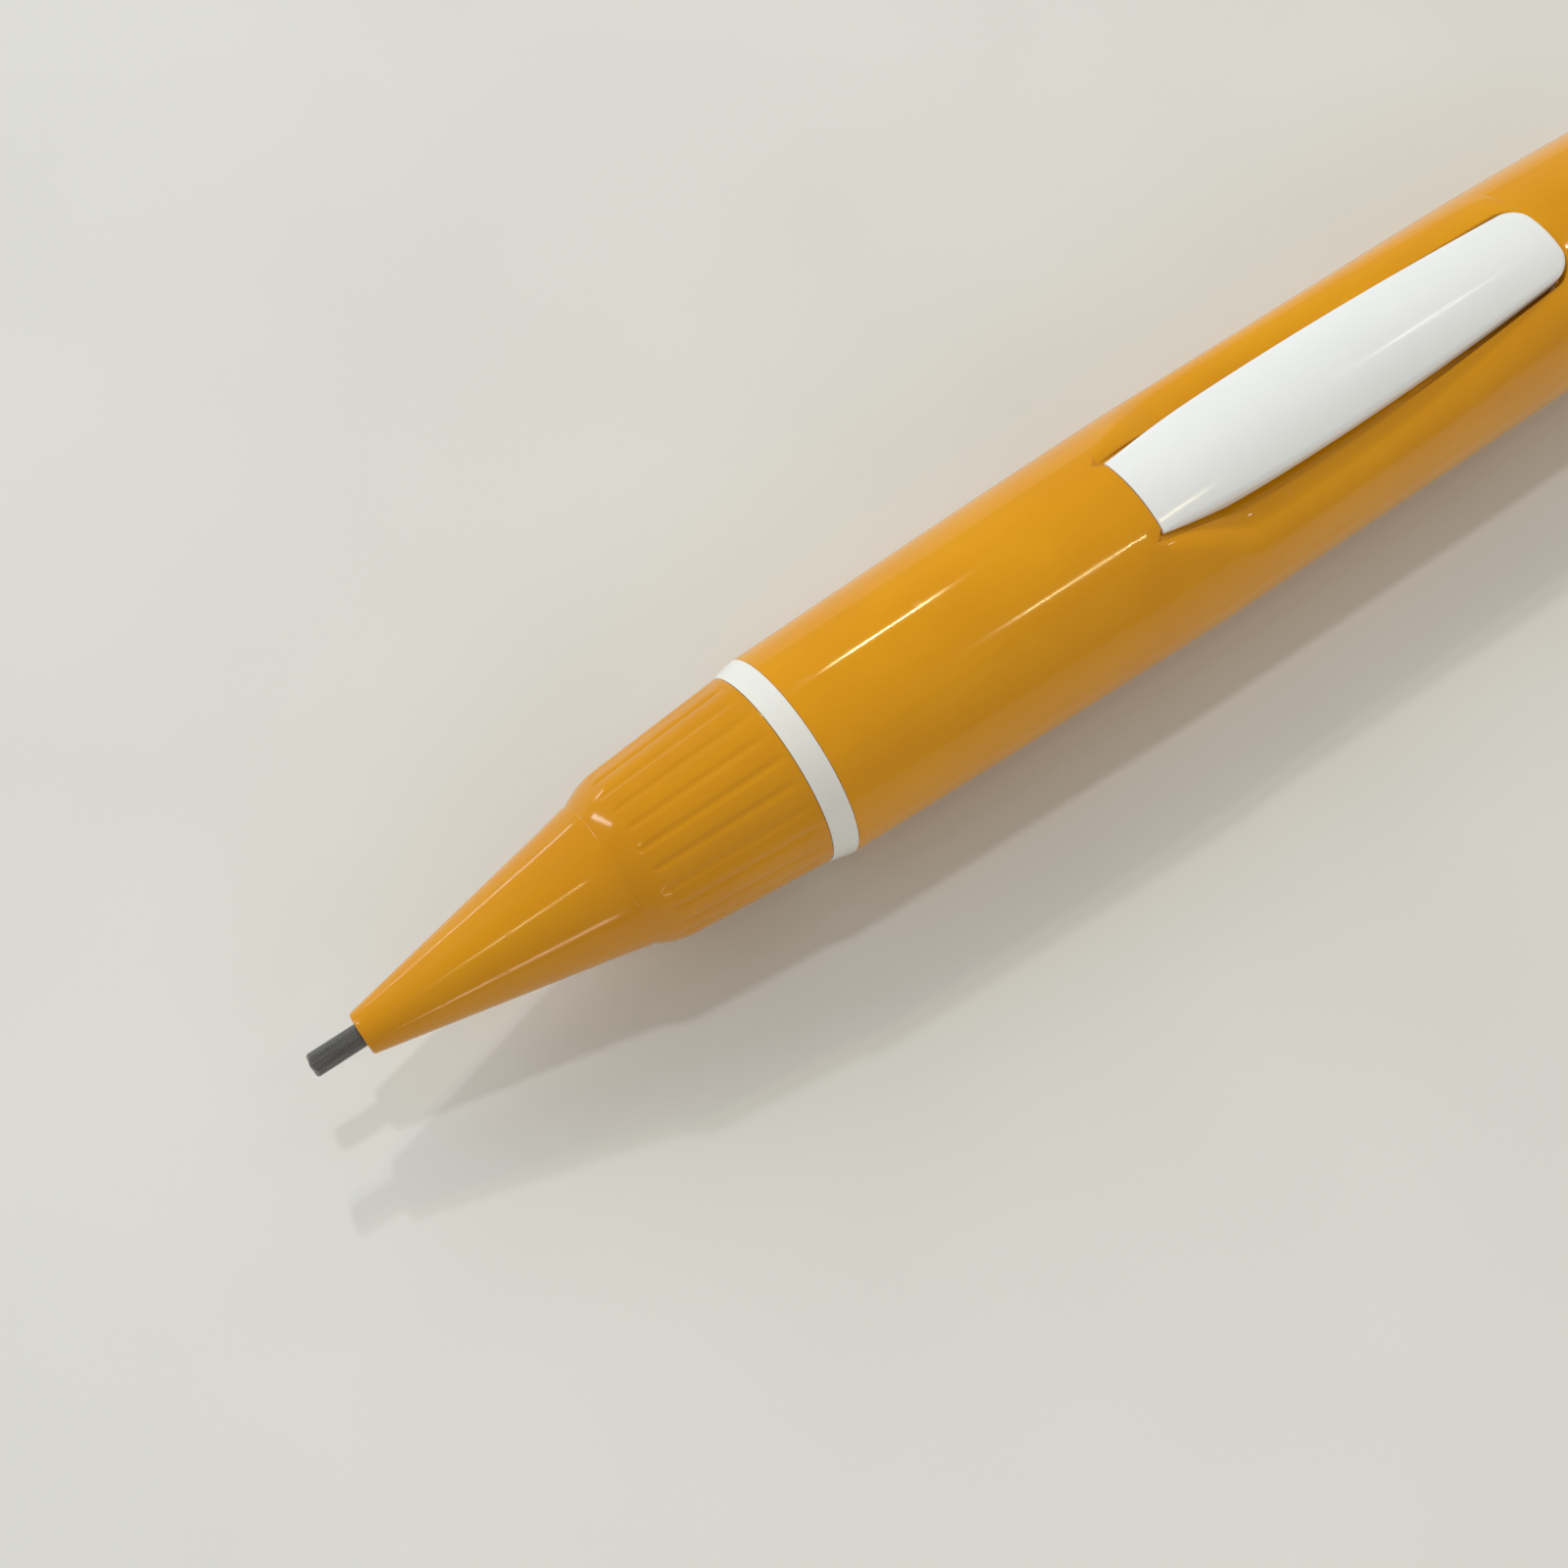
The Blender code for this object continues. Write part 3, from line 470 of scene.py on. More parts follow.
def build_clip():
    """The clip: a crowned strip with eased edges, and the tongue that holds it."""
    toe_length, toe_sharpness, middle_end = 1.2, 0.72, 2.2
    outline = clip_outline()
    toe = 1.0 - blend(outline[:, 0], CLIP_FRONT, CLIP_FRONT + toe_length)
    edge = CLIP_EDGE * (1.0 - toe_sharpness * toe)
    spine = np.clip(outline[:, 0], CLIP_FRONT + middle_end, CLIP_REAR - middle_end)
    middle = np.column_stack([spine, 0 * spine])
    rings = []
    for share in np.linspace(0.0, 1.0, 4)[:-1]:
        plan = middle + (inset(outline, CLIP_UNDER_EDGE) - middle) * share
        rings.append(np.column_stack([plan, clip_bottom(plan[:, 0])]))
    for t in np.linspace(0.0, 1.0, 4):
        plan = inset(outline, CLIP_UNDER_EDGE * (1 - t) ** 2)
        rings.append(np.column_stack([plan, clip_bottom(plan[:, 0]) + CLIP_UNDER_EDGE * t * t]))
    for t in np.linspace(0.0, 1.0, 8):
        plan = inset(outline, edge * t * t)
        rings.append(np.column_stack([plan, clip_top(*plan.T) - edge * (1 - t) ** 2]))
    shoulder = inset(outline, edge)
    for share in np.linspace(1.0, 0.0, 12)[1:]:
        plan = middle + (shoulder - middle) * share
        rings.append(np.column_stack([plan, clip_top(*plan.T)]))
    clip = grid_mesh("clip_strip", rings)
    tongue = build_tongue()
    join(clip, tongue)
    return clip


def build_tongue():
    """The block under the clip that reaches down through the barrel's wall."""
    corner, roof = 0.15, CLIP_UNDERSIDE + 0.1      # the roof is inside the clip
    middle = 0.5 * (TONGUE_FRONT + TONGUE_REAR)
    plan = []
    for quarter in range(4):
        start = quarter * math.pi / 2
        cx = (0.5 * (TONGUE_REAR - TONGUE_FRONT) - corner) * (1 if quarter in (0, 3) else -1)
        cy = (TONGUE_HALF_WIDTH - corner) * (1 if quarter in (0, 1) else -1)
        for a in np.linspace(start, start + math.pi / 2, 5):
            plan.append((middle + cx + corner * math.cos(a), cy + corner * math.sin(a)))
    plan = np.array(plan)
    centre = np.array((middle, 0.0))
    rings = []
    levels = ((TONGUE_FOOT, 0.0), (TONGUE_FOOT, 0.93), (TONGUE_FOOT + 0.1, 1.0),
              (roof, 1.0), (roof, 0.0))
    for height, share in levels:
        ring = centre + (plan - centre) * share
        rings.append(np.column_stack([ring, np.full(len(ring), height)]))
    return grid_mesh("clip_tongue", rings)


def join(piece, other):
    """Put the other object's mesh into the piece."""
    bm = bmesh.new()
    bm.from_mesh(piece.data)
    bm.from_mesh(other.data)
    bm.to_mesh(piece.data)
    bm.free()
    bpy.data.objects.remove(other, do_unlink=True)


# Nose, ring and lead --------------------------------------------------------------------------
def grip_line(station):
    share = (station - GRIP_FRONT) / (GRIP_REAR - GRIP_FRONT)
    return GRIP_FRONT_RADIUS + (GRIP_REAR_RADIUS - GRIP_FRONT_RADIUS) * share


def nose_radius(station):
    """Radius of cone, shoulder and grip without the flutes."""
    cone = CONE_TIP_RADIUS + CONE_SLOPE * (station - NOSE_FRONT)
    cone_end = CONE_TIP_RADIUS + CONE_SLOPE * (SHOULDER_FRONT - NOSE_FRONT)
    to_go = 1.0 - blend(station, SHOULDER_FRONT, SHOULDER_REAR)
    grip = grip_line(station) - (grip_line(SHOULDER_FRONT) - cone_end) * to_go ** 2
    return soft_max(cone, grip, 0.02) if station > SHOULDER_FRONT - 0.5 else cone


def flute_share(turn):
    """1 on a flute's centre line and 0 on the land between two flutes."""
    across = np.abs((turn * FLUTES / (2.0 * math.pi) + 0.5) % 1.0 - 0.5) * 2.0
    return 0.5 + 0.5 * np.cos(math.pi * np.clip(across / FLUTE_SHARE, 0.0, 1.0))


def grip_ring(station, turn):
    """Radius all round at one station of the shoulder and grip."""
    past_shoulder = blend(station, SHOULDER_FRONT, SHOULDER_REAR)
    depth = FLUTE_START_DEPTH + (FLUTE_DEPTH - FLUTE_START_DEPTH) * past_shoulder
    depth *= 1.0 - blend(station, GRIP_REAR - FLUTE_EXIT, GRIP_REAR - 0.15) ** 2
    fluted = float(grip_line(station)) - depth * flute_share(turn)
    return soft_min(float(nose_radius(station)) + 0.0 * turn, fluted, 0.01)


def thread_ring(station, turn):
    """Radius all round at one station of the nose's right-hand thread."""
    phase = ((station - THREAD_FRONT) / THREAD_PITCH - turn / (2.0 * math.pi)) % 1.0
    ridge = np.clip(1.6 - 4.0 * np.abs(phase - 0.5), 0.0, 1.0)     # a flat crest with sloped flanks
    fade_in = blend(station, THREAD_FRONT, THREAD_FRONT + 0.8)
    fade_out = 1.0 - blend(station, NOSE_REAR - 0.9, NOSE_REAR - 0.1)
    return THREAD_ROOT + (THREAD_CREST - THREAD_ROOT) * ridge * min(fade_in, fade_out)


def build_nose():
    """Cone, shoulder, fluted grip and threaded spigot in one moulding, hollow inside."""
    first_flute, tip_ease = math.radians(1.2), 0.12
    turn = angles(FLUTES * POINTS_PER_FLUTE) + first_flute
    level = 0.0 * turn
    radii = []
    for t in np.linspace(0.0, 1.0, EASE_STEPS):
        station = NOSE_FRONT + tip_ease * t * t
        radii.append((station, nose_radius(station) - tip_ease * (1 - t) ** 2 + level))
    for s in stations(NOSE_FRONT + 0.5, SHOULDER_FRONT - 0.3, 1.6):
        radii.append((s, nose_radius(s) + level))
    for s in stations(SHOULDER_FRONT - 0.12, SHOULDER_REAR, 0.06):
        radii.append((s, grip_ring(s, turn)))
    for s in stations(SHOULDER_REAR + 0.3, GRIP_REAR - FLUTE_EXIT, 0.6):
        radii.append((s, grip_ring(s, turn)))
    for s in stations(GRIP_REAR - FLUTE_EXIT + 0.06, GRIP_REAR - 0.1, 0.07):
        radii.append((s, grip_ring(s, turn)))
    edge = grip_ring(GRIP_REAR, turn)
    radii += [(GRIP_REAR - 0.02, edge - 0.01), (GRIP_REAR, edge - 0.06)]
    radii.append((GRIP_REAR, THREAD_ROOT + level))
    for s in stations(THREAD_FRONT, NOSE_REAR - 0.1, THREAD_PITCH / 14):
        radii.append((s, thread_ring(s, turn)))
    radii.append((NOSE_REAR, THREAD_ROOT - 0.1 + level))
    before = NOSE_REAR
    for front, bore in NOSE_BORES:
        radii += [(before, bore + level), (front, bore + level)]
        before = front
    rings = [np.column_stack([s + level, -r * np.sin(turn), r * np.cos(turn)]) for s, r in radii]
    return grid_mesh("nose_moulding", rings, closed=True, sharp_above=38.0)


def build_ring():
    """The trim ring: a plain band that flares towards the barrel, flush with both neighbours."""
    gap, flush, bore, ease = 0.02, 0.01, 4.6, 0.03
    start, stop = GRIP_REAR + gap, BARREL_FRONT - gap
    rear_radius = float(barrel_radius(BARREL_FRONT)) - flush
    corners = [(start, GRIP_REAR_RADIUS + flush, ease), (stop, rear_radius, ease)]
    corners += [(stop, bore, ease), (start, bore, ease)]
    return turned_tube("trim_band", corners, 180)


def build_lead():
    """The lead in use, snapped off unevenly at its point."""
    sides = 72
    turn = angles(sides)
    rings = []
    for share in (0.0, 0.3, 0.55, 0.75, 0.88, 0.96, 1.0):
        y, z = -share * np.sin(turn), share * np.cos(turn)
        chip = snapped_end(y, z) + 0.05 * blend(share, 0.86, 1.0) ** 2
        rings.append(np.column_stack([chip, LEAD_RADIUS * y, LEAD_RADIUS * z]))
    y, z = -np.sin(turn), np.cos(turn)
    for s in (0.55, 0.8, 1.5, LEAD_LENGTH - 0.05):
        rings.append(np.column_stack([s + 0 * turn, LEAD_RADIUS * y, LEAD_RADIUS * z]))
    for radius in (0.9 * LEAD_RADIUS, 0.0):
        rings.append(np.column_stack([LEAD_LENGTH + 0 * turn, radius * y, radius * z]))
    return grid_mesh("lead_stick", rings, sharp_above=24.0)


def snapped_end(y, z):
    """Station of the broken face at a point across the lead, from a few cleaved planes."""
    planes = ((0.02, 0.05, -0.03), (-0.14, 0.22, 0.24), (-0.2, -0.38, 0.18), (-0.22, 0.1, -0.42))
    face = 0.0 * y
    for lift, across, up in planes:
        face = np.maximum(face, lift + across * y + up * z)
    return face + 0.012 * np.sin(17.0 * y + 3.0) * np.sin(13.0 * z)


# Spring and rear end --------------------------------------------------------------------------
def build_spring():
    """The return spring, a round wire with a closed turn at each end."""
    radius, wire, turns, closed_turns, per_turn, round_wire = 2.3, 0.2, 8, 1, 40, 12
    closed_rise = 2.3 * wire
    open_turns = turns - 2 * closed_turns
    first, last = SPRING_FRONT + wire, SPRING_REAR - wire
    open_rise = (last - first - 2 * closed_turns * closed_rise) / open_turns
    around = angles(round_wire)
    rings = []
    for turn in np.linspace(0.0, turns, turns * per_turn + 1):
        ends = min(turn, closed_turns) + max(turn - closed_turns - open_turns, 0.0)
        s = first + closed_rise * ends + open_rise * (turn - ends)
        out = radius + wire * np.cos(around)
        a = 2.0 * math.pi * turn
        rings.append(np.column_stack([s + wire * np.sin(around), -out * math.sin(a), out * math.cos(a)]))
    caps = [ring.mean(0) + 0.0 * ring for ring in (rings[0], rings[-1])]
    return grid_mesh("spring_wire", [caps[0], *rings, caps[1]], sharp_above=50.0)


def build_bush():
    """The white bush: a guide inside the barrel and a rounded collar behind it."""
    collar_front, collar, guide, bore = BARREL_REAR + 0.1, 5.75, 4.75, 4.15
    # Each corner is a station, a radius and its rounding
    corners = [(BUSH_FRONT, guide, 0.1), (collar_front, guide, 0.0), (collar_front, collar, 0.08)]
    corners += [(BUSH_REAR - 0.2, collar, 0.35), (BUSH_REAR, collar - 0.45, 0.2)]
    corners += [(BUSH_REAR, bore, 0.1), (BUSH_FRONT, bore, 0.05)]
    return turned_tube("rear_collar", corners, 144)


def build_button():
    """The push button, with the eraser's socket in its end."""
    outer, tube_bore, socket = half_width("push_button"), 3.0, 3.2
    floor_front, floor_rear = 109.0, 110.6
    corners = [(floor_rear, 0.0, 0.0), (floor_rear, socket, 0.1), (BUTTON_REAR, socket, 0.08)]
    corners += [(BUTTON_REAR, outer - 0.25, 0.25), (BUTTON_REAR - 0.5, outer, 0.4)]
    corners += [(BUTTON_FRONT, outer, 0.2), (BUTTON_FRONT, tube_bore, 0.1)]
    corners += [(floor_front, tube_bore, 0.1), (floor_front, 0.0, 0.0)]
    return turned_solid("button_cap", corners, 144)


def build_eraser():
    """The eraser, its end domed and a little worn."""
    radius, dome, wear_depth, wear_length = 3.05, 0.75, 0.06, 1.5
    corners = [(ERASER_FRONT, 0.0, 0.0), (ERASER_FRONT, radius, 0.1), (ERASER_REAR, radius, dome)]
    outline = list(eased(corners + [(ERASER_REAR, 0.0, 0.0)]))
    rings = turned_rings(outline[:-1], 96)
    for share in (0.8, 0.6, 0.4, 0.2, 0.0):
        rings = np.vstack([rings, turned_rings([(ERASER_REAR, share * outline[-2][1])], 96)])
    y, z = rings[..., 1], rings[..., 2]
    near_end = blend(rings[..., 0], ERASER_REAR - wear_length, ERASER_REAR)
    wear = wear_depth * near_end * (1.0 + np.sin(0.9 * y + 0.6) * np.cos(1.1 * z - 0.4))
    rings[..., 0] -= wear
    return grid_mesh("eraser_plug", rings, sharp_above=40.0)


# Materials ------------------------------------------------------------------------------------
PLASTIC_IOR, PLASTIC_SPECULAR = 1.5, 0.36
GRIME = (0.10, 0.07, 0.04)


def add(tree, kind, inputs=None, **settings):
    """A shader node with its settings and inputs; an input is a value or another node's socket."""
    node = tree.nodes.new(kind)
    for key, value in settings.items():
        setattr(node, key, value)
    for name, value in (inputs or {}).items():
        if isinstance(value, bpy.types.NodeSocket):
            tree.links.new(value, node.inputs[name])
        else:
            node.inputs[name].default_value = value
    return node


def noise(tree, place, size, detail, stretch=(1.0, 1.0, 1.0), offset=0.0):
    """Noise whose features are about size millimetres across."""
    scale = 1.0 / (size * MM)
    mapping = add(tree, "ShaderNodeMapping", {"Vector": place, "Scale": [scale * k for k in stretch],
                                              "Location": (offset, 0.7 * offset, 0.3 * offset)})
    return add(tree, "ShaderNodeTexNoise", {"Vector": mapping.outputs["Vector"], "Scale": 1.0,
                                            "Detail": detail}).outputs["Fac"]


def remap(tree, value, low, high, to_low, to_high):
    return add(tree, "ShaderNodeMapRange", {"Value": value, "From Min": low, "From Max": high,
                                            "To Min": to_low, "To Max": to_high}).outputs["Result"]


def mix_colour(tree, factor, first, second):
    node = add(tree, "ShaderNodeMix", data_type='RGBA')
    for socket, value in zip((node.inputs[0], node.inputs[6], node.inputs[7]), (factor, first, second)):
        if isinstance(value, bpy.types.NodeSocket):
            tree.links.new(value, socket)
        else:
            socket.default_value = value if isinstance(value, float) else (*value, 1.0)
    return node.outputs[2]


def combine(tree, operation, first, second):
    node = add(tree, "ShaderNodeMath", operation=operation)
    for socket, value in zip(node.inputs, (first, second)):
        if isinstance(value, bpy.types.NodeSocket):
            tree.links.new(value, socket)
        else:
            socket.default_value = value
    return node.outputs[0]


def weighted_sum(tree, first, first_weight, second, second_weight):
    return combine(tree, 'ADD', combine(tree, 'MULTIPLY', first, first_weight),
                   combine(tree, 'MULTIPLY', second, second_weight))


def raise_surface(tree, shader, height, depth):
    """Bump the surface by a height from 0 to 1, its full depth given in millimetres."""
    bump = add(tree, "ShaderNodeBump", {"Strength": 1.0, "Distance": depth * MM, "Height": height})
    tree.links.new(bump.outputs["Normal"], shader.inputs["Normal"])


def new_material(name):
    """An empty Principled material, its tree, its shader and the object's own coordinates."""
    material = bpy.data.materials.new(name)
    material.use_nodes = True
    tree = material.node_tree
    shader = tree.nodes["Principled BSDF"]
    place = add(tree, "ShaderNodeTexCoord").outputs["Object"]
    return material, tree, shader, place


def scratches(tree, place, offset):
    """Short fine scratches in two directions: 1 on a scratch and 0 off it."""
    first = noise(tree, place, 0.35, 2.0, (0.06, 1.0, 1.0), offset)
    second = noise(tree, place, 0.4, 2.0, (0.5, 0.12, 0.6), offset + 9.0)
    lines = [remap(tree, value, 0.69, 0.73, 0.0, 1.0) for value in (first, second)]
    return combine(tree, 'MAXIMUM', *lines)


def moulded_plastic(name, colour, deeper, roughness, seed, scuff=0.12, peel=0.0016, speck=0.0):
    """Glossy moulded plastic: clouded colour, handling scuffs, hairline scratches, a faint peel.

    The peel is the depth of its slight waviness in millimetres, and speck how dark its grime is."""
    material, tree, shader, place = new_material(name)
    clouds = noise(tree, place, 7.0, 3.0, offset=seed)
    flow = noise(tree, place, 2.2, 2.0, (0.25, 1.0, 1.0), seed + 4.0)
    shade = weighted_sum(tree, clouds, 0.65, flow, 0.35)
    tint = mix_colour(tree, remap(tree, shade, 0.35, 0.65, 0.0, 1.0), colour, deeper)
    grime = remap(tree, noise(tree, place, 0.16, 1.0, offset=seed + 2.0), 0.8, 0.83, 0.0, speck)
    tint = mix_colour(tree, grime, tint, GRIME)
    tree.links.new(tint, shader.inputs["Base Color"])
    rubbed = remap(tree, noise(tree, place, 3.0, 4.0, offset=seed + 1.0), 0.4, 0.75, 0.0, 0.5 * scuff)
    lines = scratches(tree, place, seed)
    rough = combine(tree, 'ADD', rubbed, combine(tree, 'MULTIPLY', lines, scuff))
    rough = combine(tree, 'ADD', rough, roughness)
    tree.links.new(rough, shader.inputs["Roughness"])
    surface = noise(tree, place, 0.9, 2.0, offset=seed + 3.0)
    height = combine(tree, 'SUBTRACT', surface, combine(tree, 'MULTIPLY', lines, 0.12))
    raise_surface(tree, shader, height, peel)
    shader.inputs["IOR"].default_value = PLASTIC_IOR
    shader.inputs["Specular IOR Level"].default_value = PLASTIC_SPECULAR
    return material


def graphite_look(name):
    """Polymer lead: dark grey with a dull metallic sheen, fine grain and drawn lines."""
    material, tree, shader, place = new_material(name)
    grain = noise(tree, place, 0.05, 3.0)
    drawn = noise(tree, place, 0.12, 2.0, (0.05, 1.0, 1.0), 5.0)
    shade = weighted_sum(tree, grain, 0.5, drawn, 0.5)
    dark, light = (0.075, 0.076, 0.074), (0.19, 0.19, 0.185)
    tint = mix_colour(tree, remap(tree, shade, 0.35, 0.7, 0.0, 1.0), dark, light)
    tree.links.new(tint, shader.inputs["Base Color"])
    tree.links.new(remap(tree, grain, 0.3, 0.7, 0.22, 0.42), shader.inputs["Roughness"])
    raise_surface(tree, shader, shade, 0.004)
    shader.inputs["Metallic"].default_value = 0.45
    return material


def turned_metal(name, colour, deeper, roughness):
    """Machined metal: tool marks round the axis, slight staining and varied polish."""
    material, tree, shader, place = new_material(name)
    marks = noise(tree, place, 0.12, 2.0, (1.0, 0.06, 0.06))
    stain = noise(tree, place, 1.6, 3.0, offset=3.0)
    tree.links.new(mix_colour(tree, remap(tree, stain, 0.4, 0.7, 0.0, 1.0), colour, deeper),
                   shader.inputs["Base Color"])
    polish = combine(tree, 'ADD', combine(tree, 'MULTIPLY', marks, 0.15), roughness - 0.07)
    tree.links.new(polish, shader.inputs["Roughness"])
    raise_surface(tree, shader, marks, 0.002)
    shader.inputs["Metallic"].default_value = 1.0
    return material


def matte_look(name, colour, marked, roughness, grain_size, depth, smudge):
    """Rubber or vinyl: a fine matte grain, and smudges where it's handled."""
    material, tree, shader, place = new_material(name)
    marks = remap(tree, noise(tree, place, 1.5, 5.0, offset=7.0), 0.52, 0.72, 0.0, smudge)
    tree.links.new(mix_colour(tree, marks, colour, marked), shader.inputs["Base Color"])
    grain = noise(tree, place, grain_size, 3.0)
    rough = remap(tree, grain, 0.3, 0.7, roughness - 0.08, roughness + 0.08)
    tree.links.new(rough, shader.inputs["Roughness"])
    raise_surface(tree, shader, grain, depth)
    return material


# Stage, lights and camera ---------------------------------------------------------------------
TABLE_COLOUR, TABLE_PALER = (0.715, 0.728, 0.715), (0.745, 0.758, 0.745)
TABLE_LEVEL = -0.00003                 # just under the barrel's lowest line
TABLE_HALF = 1.6


def build_floor():
    """A plain pale table top with a faint satin sheen."""
    mesh = bpy.data.meshes.new("table_top")
    bm = bmesh.new()
    bmesh.ops.create_grid(bm, x_segments=4, y_segments=4, size=TABLE_HALF)
    bmesh.ops.translate(bm, verts=bm.verts, vec=(0.0, 0.0, TABLE_LEVEL))
    bm.to_mesh(mesh)
    bm.free()
    floor = bpy.data.objects.new("table_top", mesh)
    bpy.context.collection.objects.link(floor)
    material, tree, shader, place = new_material("table_white")
    clouds = noise(tree, place, 30.0, 2.0)
    tint = mix_colour(tree, remap(tree, clouds, 0.35, 0.65, 0.0, 1.0), TABLE_COLOUR, TABLE_PALER)
    tree.links.new(tint, shader.inputs["Base Color"])
    shader.inputs["Roughness"].default_value = 0.5
    shader.inputs["Specular IOR Level"].default_value = 0.25
    floor.data.materials.append(material)


# The soft lamps shade the pencil and throw its shadows, and don't show in its gloss.  Each has a name,
# the direction towards it, its distance, width and length in metres, its power and its colour.
SOFT_LAMPS = (
    ("key", (0.25, 0.66, 0.70), 1.5, 0.05, 0.05, 2.9, (1.0, 0.99, 0.98)),
    ("high", (0.15, 0.31, 0.93), 1.5, 0.08, 0.08, 3.1, (1.0, 0.99, 0.98)),
    ("overhead", (-0.35, 0.9, 0.6), 1.2, 0.9, 1.4, 5.7, (0.95, 0.995, 1.02)),
    ("fill", (0.15, -0.85, 0.5), 1.2, 0.8, 1.2, 2.3, (1.0, 0.94, 0.85)),
)
# The glint lamps are narrow and weak, and are there for the highlights they draw.
GLINT_DISTANCE = 1.5
WARM, PINK, NEUTRAL = (1.0, 0.92, 0.5), (1.0, 0.78, 0.62), (1.0, 1.0, 1.0)
GLINT_LAMPS = (
    ("key_glint", (0.262, 0.624, 0.736), 0.016, 0.11, 1.1, WARM),       # barrel's upper flank
    ("second_glint", (0.375, -0.338, 0.864), 0.009, 0.16, 0.5, WARM),   # middle of the barrel
    ("cone_glint", (-0.36, -0.105, 0.93), 0.012, 0.08, 0.3, WARM),
    ("clip_glint", (0.629, 0.055, 0.774), 0.009, 0.08, 0.22, NEUTRAL),
    ("low_glint", (-0.31, -0.92, 0.22), 0.12, 0.2, 0.6, PINK),          # cone's lower flank
    ("far_glint", (-0.214, 0.974, 0.1), 0.04, 0.3, 0.5, NEUTRAL),       # cone's upper flank
    ("shoulder_glint", (-0.526, 0.72, 0.46), 0.8, 0.1, 2.8, NEUTRAL),
)
ROOM_COLOUR, ROOM_STRENGTH = (1.0, 0.97, 0.915, 1.0), 0.37
LIT_POINT = (45.0, 0.0, 6.0)           # from the point of the lead, in millimetres


def lamp(name, direction, distance, width, length, power, colour):
    """A rectangular lamp that faces the pencil's front half from a direction."""
    target = TIP + Vector(LIT_POINT) * MM
    back = Vector(direction).normalized()
    side = Vector((1.0, 0.0, 0.0))
    side = (side - back * side.dot(back)).normalized()
    up = back.cross(side)
    light = bpy.data.lights.new(name, 'AREA')
    light.shape = 'RECTANGLE'
    light.size, light.size_y = length, width
    light.energy = power
    light.color = colour
    item = bpy.data.objects.new(name, light)
    bpy.context.collection.objects.link(item)
    facing = Matrix((side, up, back)).transposed().to_4x4()
    item.matrix_world = Matrix.Translation(target + back * distance) @ facing
    return item


def build_lights():
    """Soft room light, four lamps for the shading, and narrow lamps for the highlights."""
    world = bpy.data.worlds.new("room")
    bpy.context.scene.world = world
    world.use_nodes = True
    sky = world.node_tree.nodes["Background"]
    sky.inputs["Color"].default_value = ROOM_COLOUR
    sky.inputs["Strength"].default_value = ROOM_STRENGTH
    for settings in SOFT_LAMPS:
        lamp(*settings).visible_glossy = False
    for name, direction, width, length, power, colour in GLINT_LAMPS:
        lamp(name, direction, GLINT_DISTANCE, width, length, power, colour)


# Where the camera stands from the point of the lead, in millimetres, and how it is turned
CAMERA_PLACE = (6.513, -26.097, 87.93)
CAMERA_RIGHT, CAMERA_FORWARD = (0.8166, -0.5760, 0.0379), (0.2316, 0.2668, -0.9355)
CAMERA_LENS, CAMERA_SENSOR = 40.23, 36.0


def build_camera():
    """The camera stands where the photograph was taken from, looking steeply down."""
    camera = bpy.data.cameras.new("camera")
    camera.sensor_width = CAMERA_SENSOR
    camera.lens = CAMERA_LENS
    camera.clip_start, camera.clip_end = 0.005, 10.0
    item = bpy.data.objects.new("camera", camera)
    bpy.context.collection.objects.link(item)
    right = Vector(CAMERA_RIGHT).normalized()
    forward = Vector(CAMERA_FORWARD).normalized()
    up = right.cross(forward).normalized()
    place = TIP + Vector(CAMERA_PLACE) * MM
    facing = Matrix((right, up, -forward)).transposed().to_4x4()
    item.matrix_world = Matrix.Translation(place) @ facing
    bpy.context.scene.camera = item


# Assembly -------------------------------------------------------------------------------------
def dress(piece, material, body, slot, *nodes):
    """Give a piece its material, and let it stand for CAD nodes on a body."""
    piece.data.materials.append(material)
    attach(piece, body)
    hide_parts(*nodes)


def repaint(node, material):
    """A carried-over CAD node keeps its shape and takes a detailed material."""
    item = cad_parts[node]
    item.data.materials.clear()
    item.data.materials.append(material)


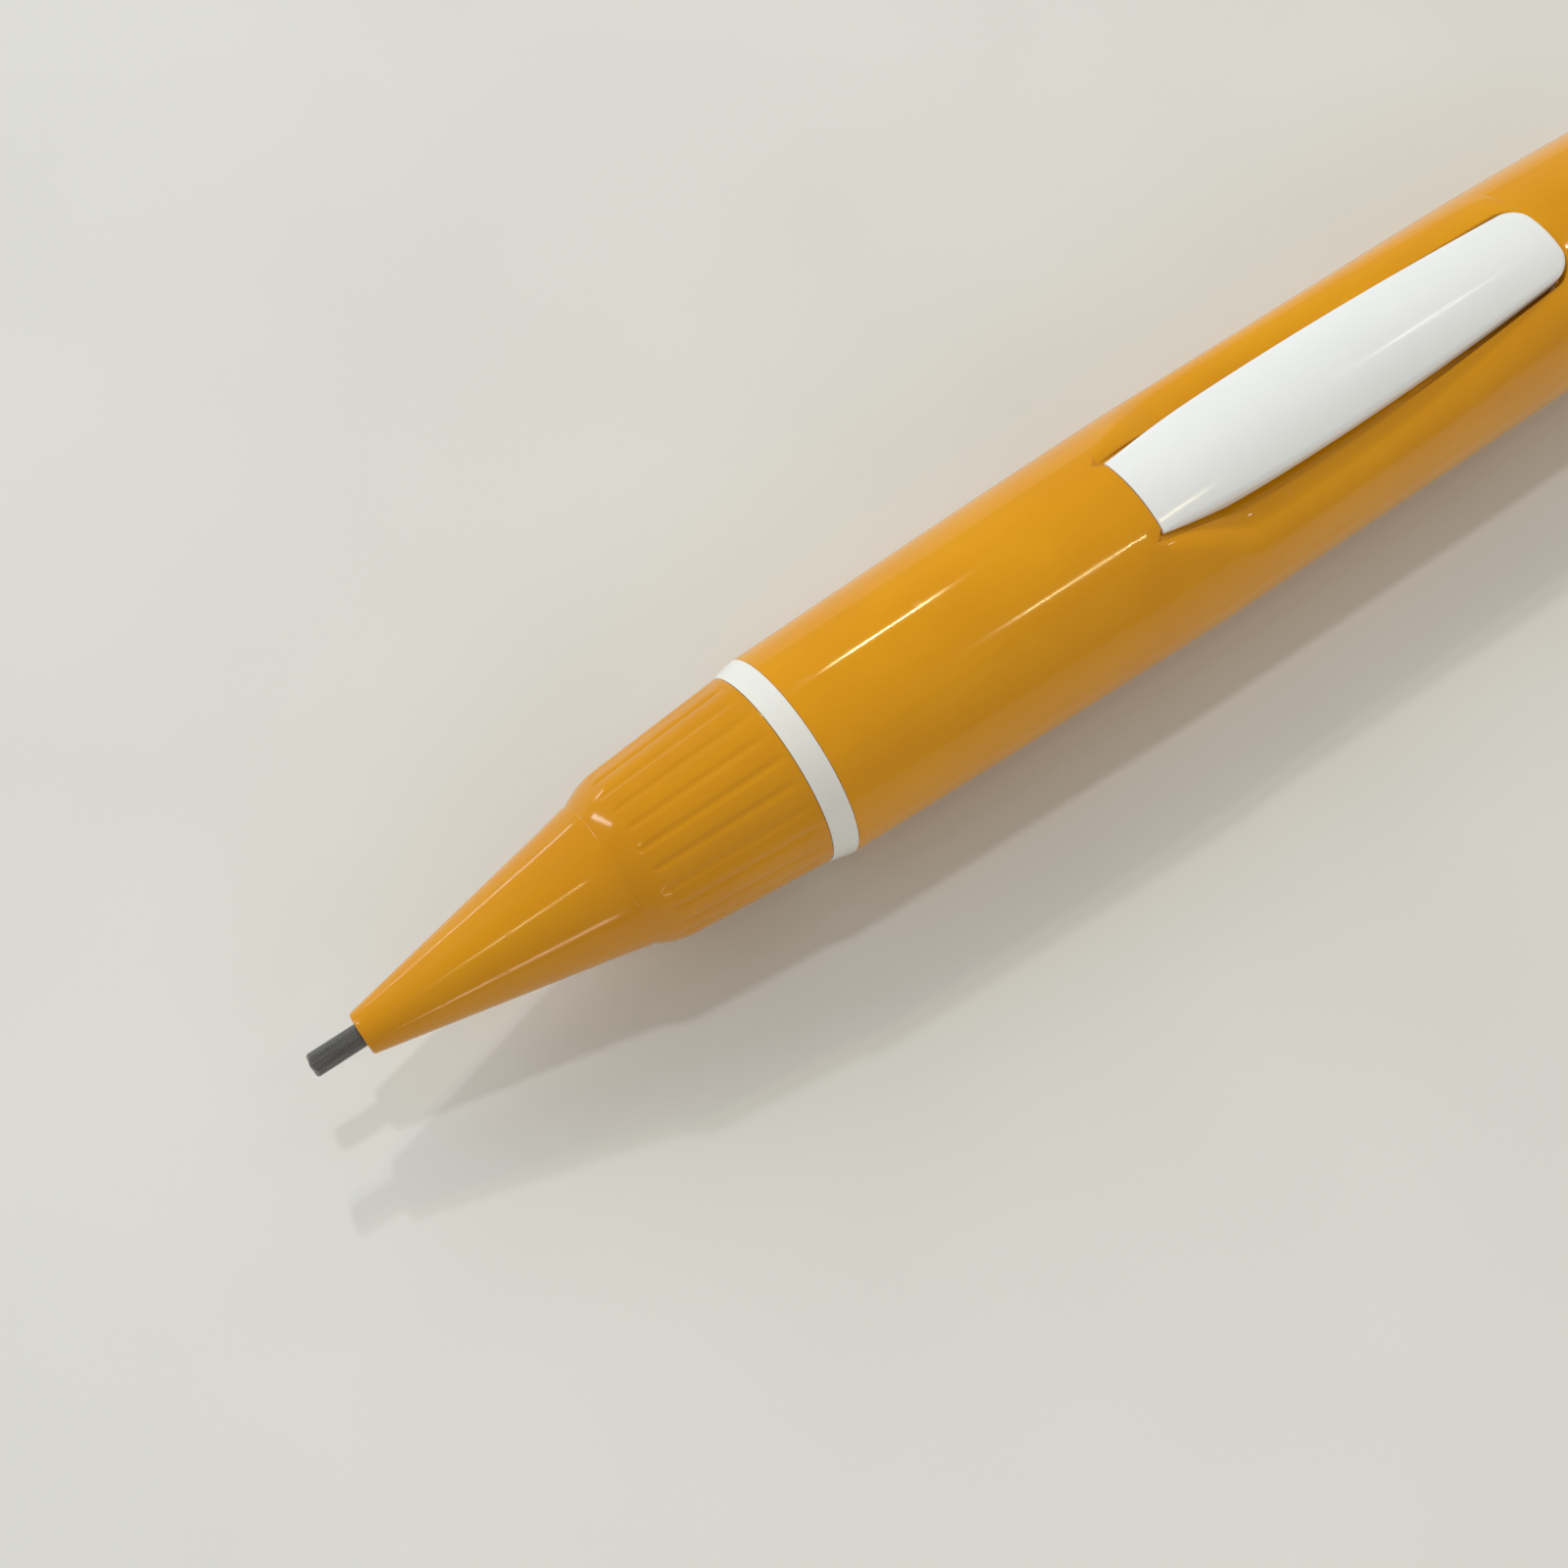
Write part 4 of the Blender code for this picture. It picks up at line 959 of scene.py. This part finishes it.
# Each plastic has a colour, a deeper one that clouds it, a roughness and a seed of its own
orange = moulded_plastic("orange_moulding", (0.72, 0.32, 0.004), (0.67, 0.282, 0.003),
                         0.07, 1.0, speck=0.2)
nose_orange = moulded_plastic("orange_nose_moulding", (0.655, 0.288, 0.004), (0.61, 0.255, 0.003),
                              0.1, 21.0, speck=0.25)
clip_white = moulded_plastic("white_clip_moulding", (0.84, 0.865, 0.885), (0.81, 0.838, 0.855),
                             0.11, 41.0)
ring_white = moulded_plastic("white_ring_moulding", (0.80, 0.81, 0.79), (0.76, 0.77, 0.74), 0.2, 61.0)
rear_white = moulded_plastic("white_rear_moulding", (0.79, 0.80, 0.78), (0.75, 0.76, 0.73), 0.2, 81.0)
natural = moulded_plastic("natural_moulding", (0.66, 0.66, 0.62), (0.58, 0.58, 0.53),
                          0.34, 101.0, scuff=0.2)
graphite = graphite_look("graphite_lead")
brass = turned_metal("turned_brass", (0.80, 0.58, 0.25), (0.62, 0.40, 0.15), 0.28)
steel = turned_metal("spring_wire_steel", (0.62, 0.62, 0.63), (0.48, 0.47, 0.46), 0.25)
rubber = matte_look("black_rubber_grain", (0.03, 0.03, 0.03), (0.06, 0.055, 0.05), 0.75, 0.12, 0.004, 0.6)
vinyl = matte_look("white_vinyl_grain", (0.80, 0.80, 0.78), (0.42, 0.42, 0.43), 0.68, 0.1, 0.003, 0.55)

dress(build_barrel(), orange, "barrel", "orange_plastic", "barrel")
dress(build_clip(), clip_white, "clip", "clip_plastic", "clip")
dress(build_nose(), nose_orange, "nose", "nose_plastic", "nose_cone")
dress(build_ring(), ring_white, "ring", "ring_plastic", "trim_ring")
dress(build_lead(), graphite, "lead", "graphite", "lead")
dress(build_bush(), rear_white, "barrel", "white_plastic", "rear_bush")
dress(build_button(), rear_white, "button", "white_plastic", "push_button")
dress(build_eraser(), vinyl, "eraser", "eraser_vinyl", "eraser")

spring = build_spring()
dress(spring, steel, "barrel", "spring_steel", "return_spring")
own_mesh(spring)

for kept in ("mechanism_sleeve", "threaded_connector", "tube_coupler", "lead_tube"):
    repaint(kept, natural)
for kept in ("chuck_stem", "clutch_ring", "chuck_jaw_1", "chuck_jaw_2", "chuck_jaw_3"):
    repaint(kept, brass)
for kept in ("spare_lead_1", "spare_lead_2", "spare_lead_3"):
    repaint(kept, graphite)
repaint("lead_retainer", rubber)
repaint("retainer_holder", rear_white)

build_floor()
build_lights()
build_camera()
bpy.context.scene.view_settings.view_transform = 'Standard'
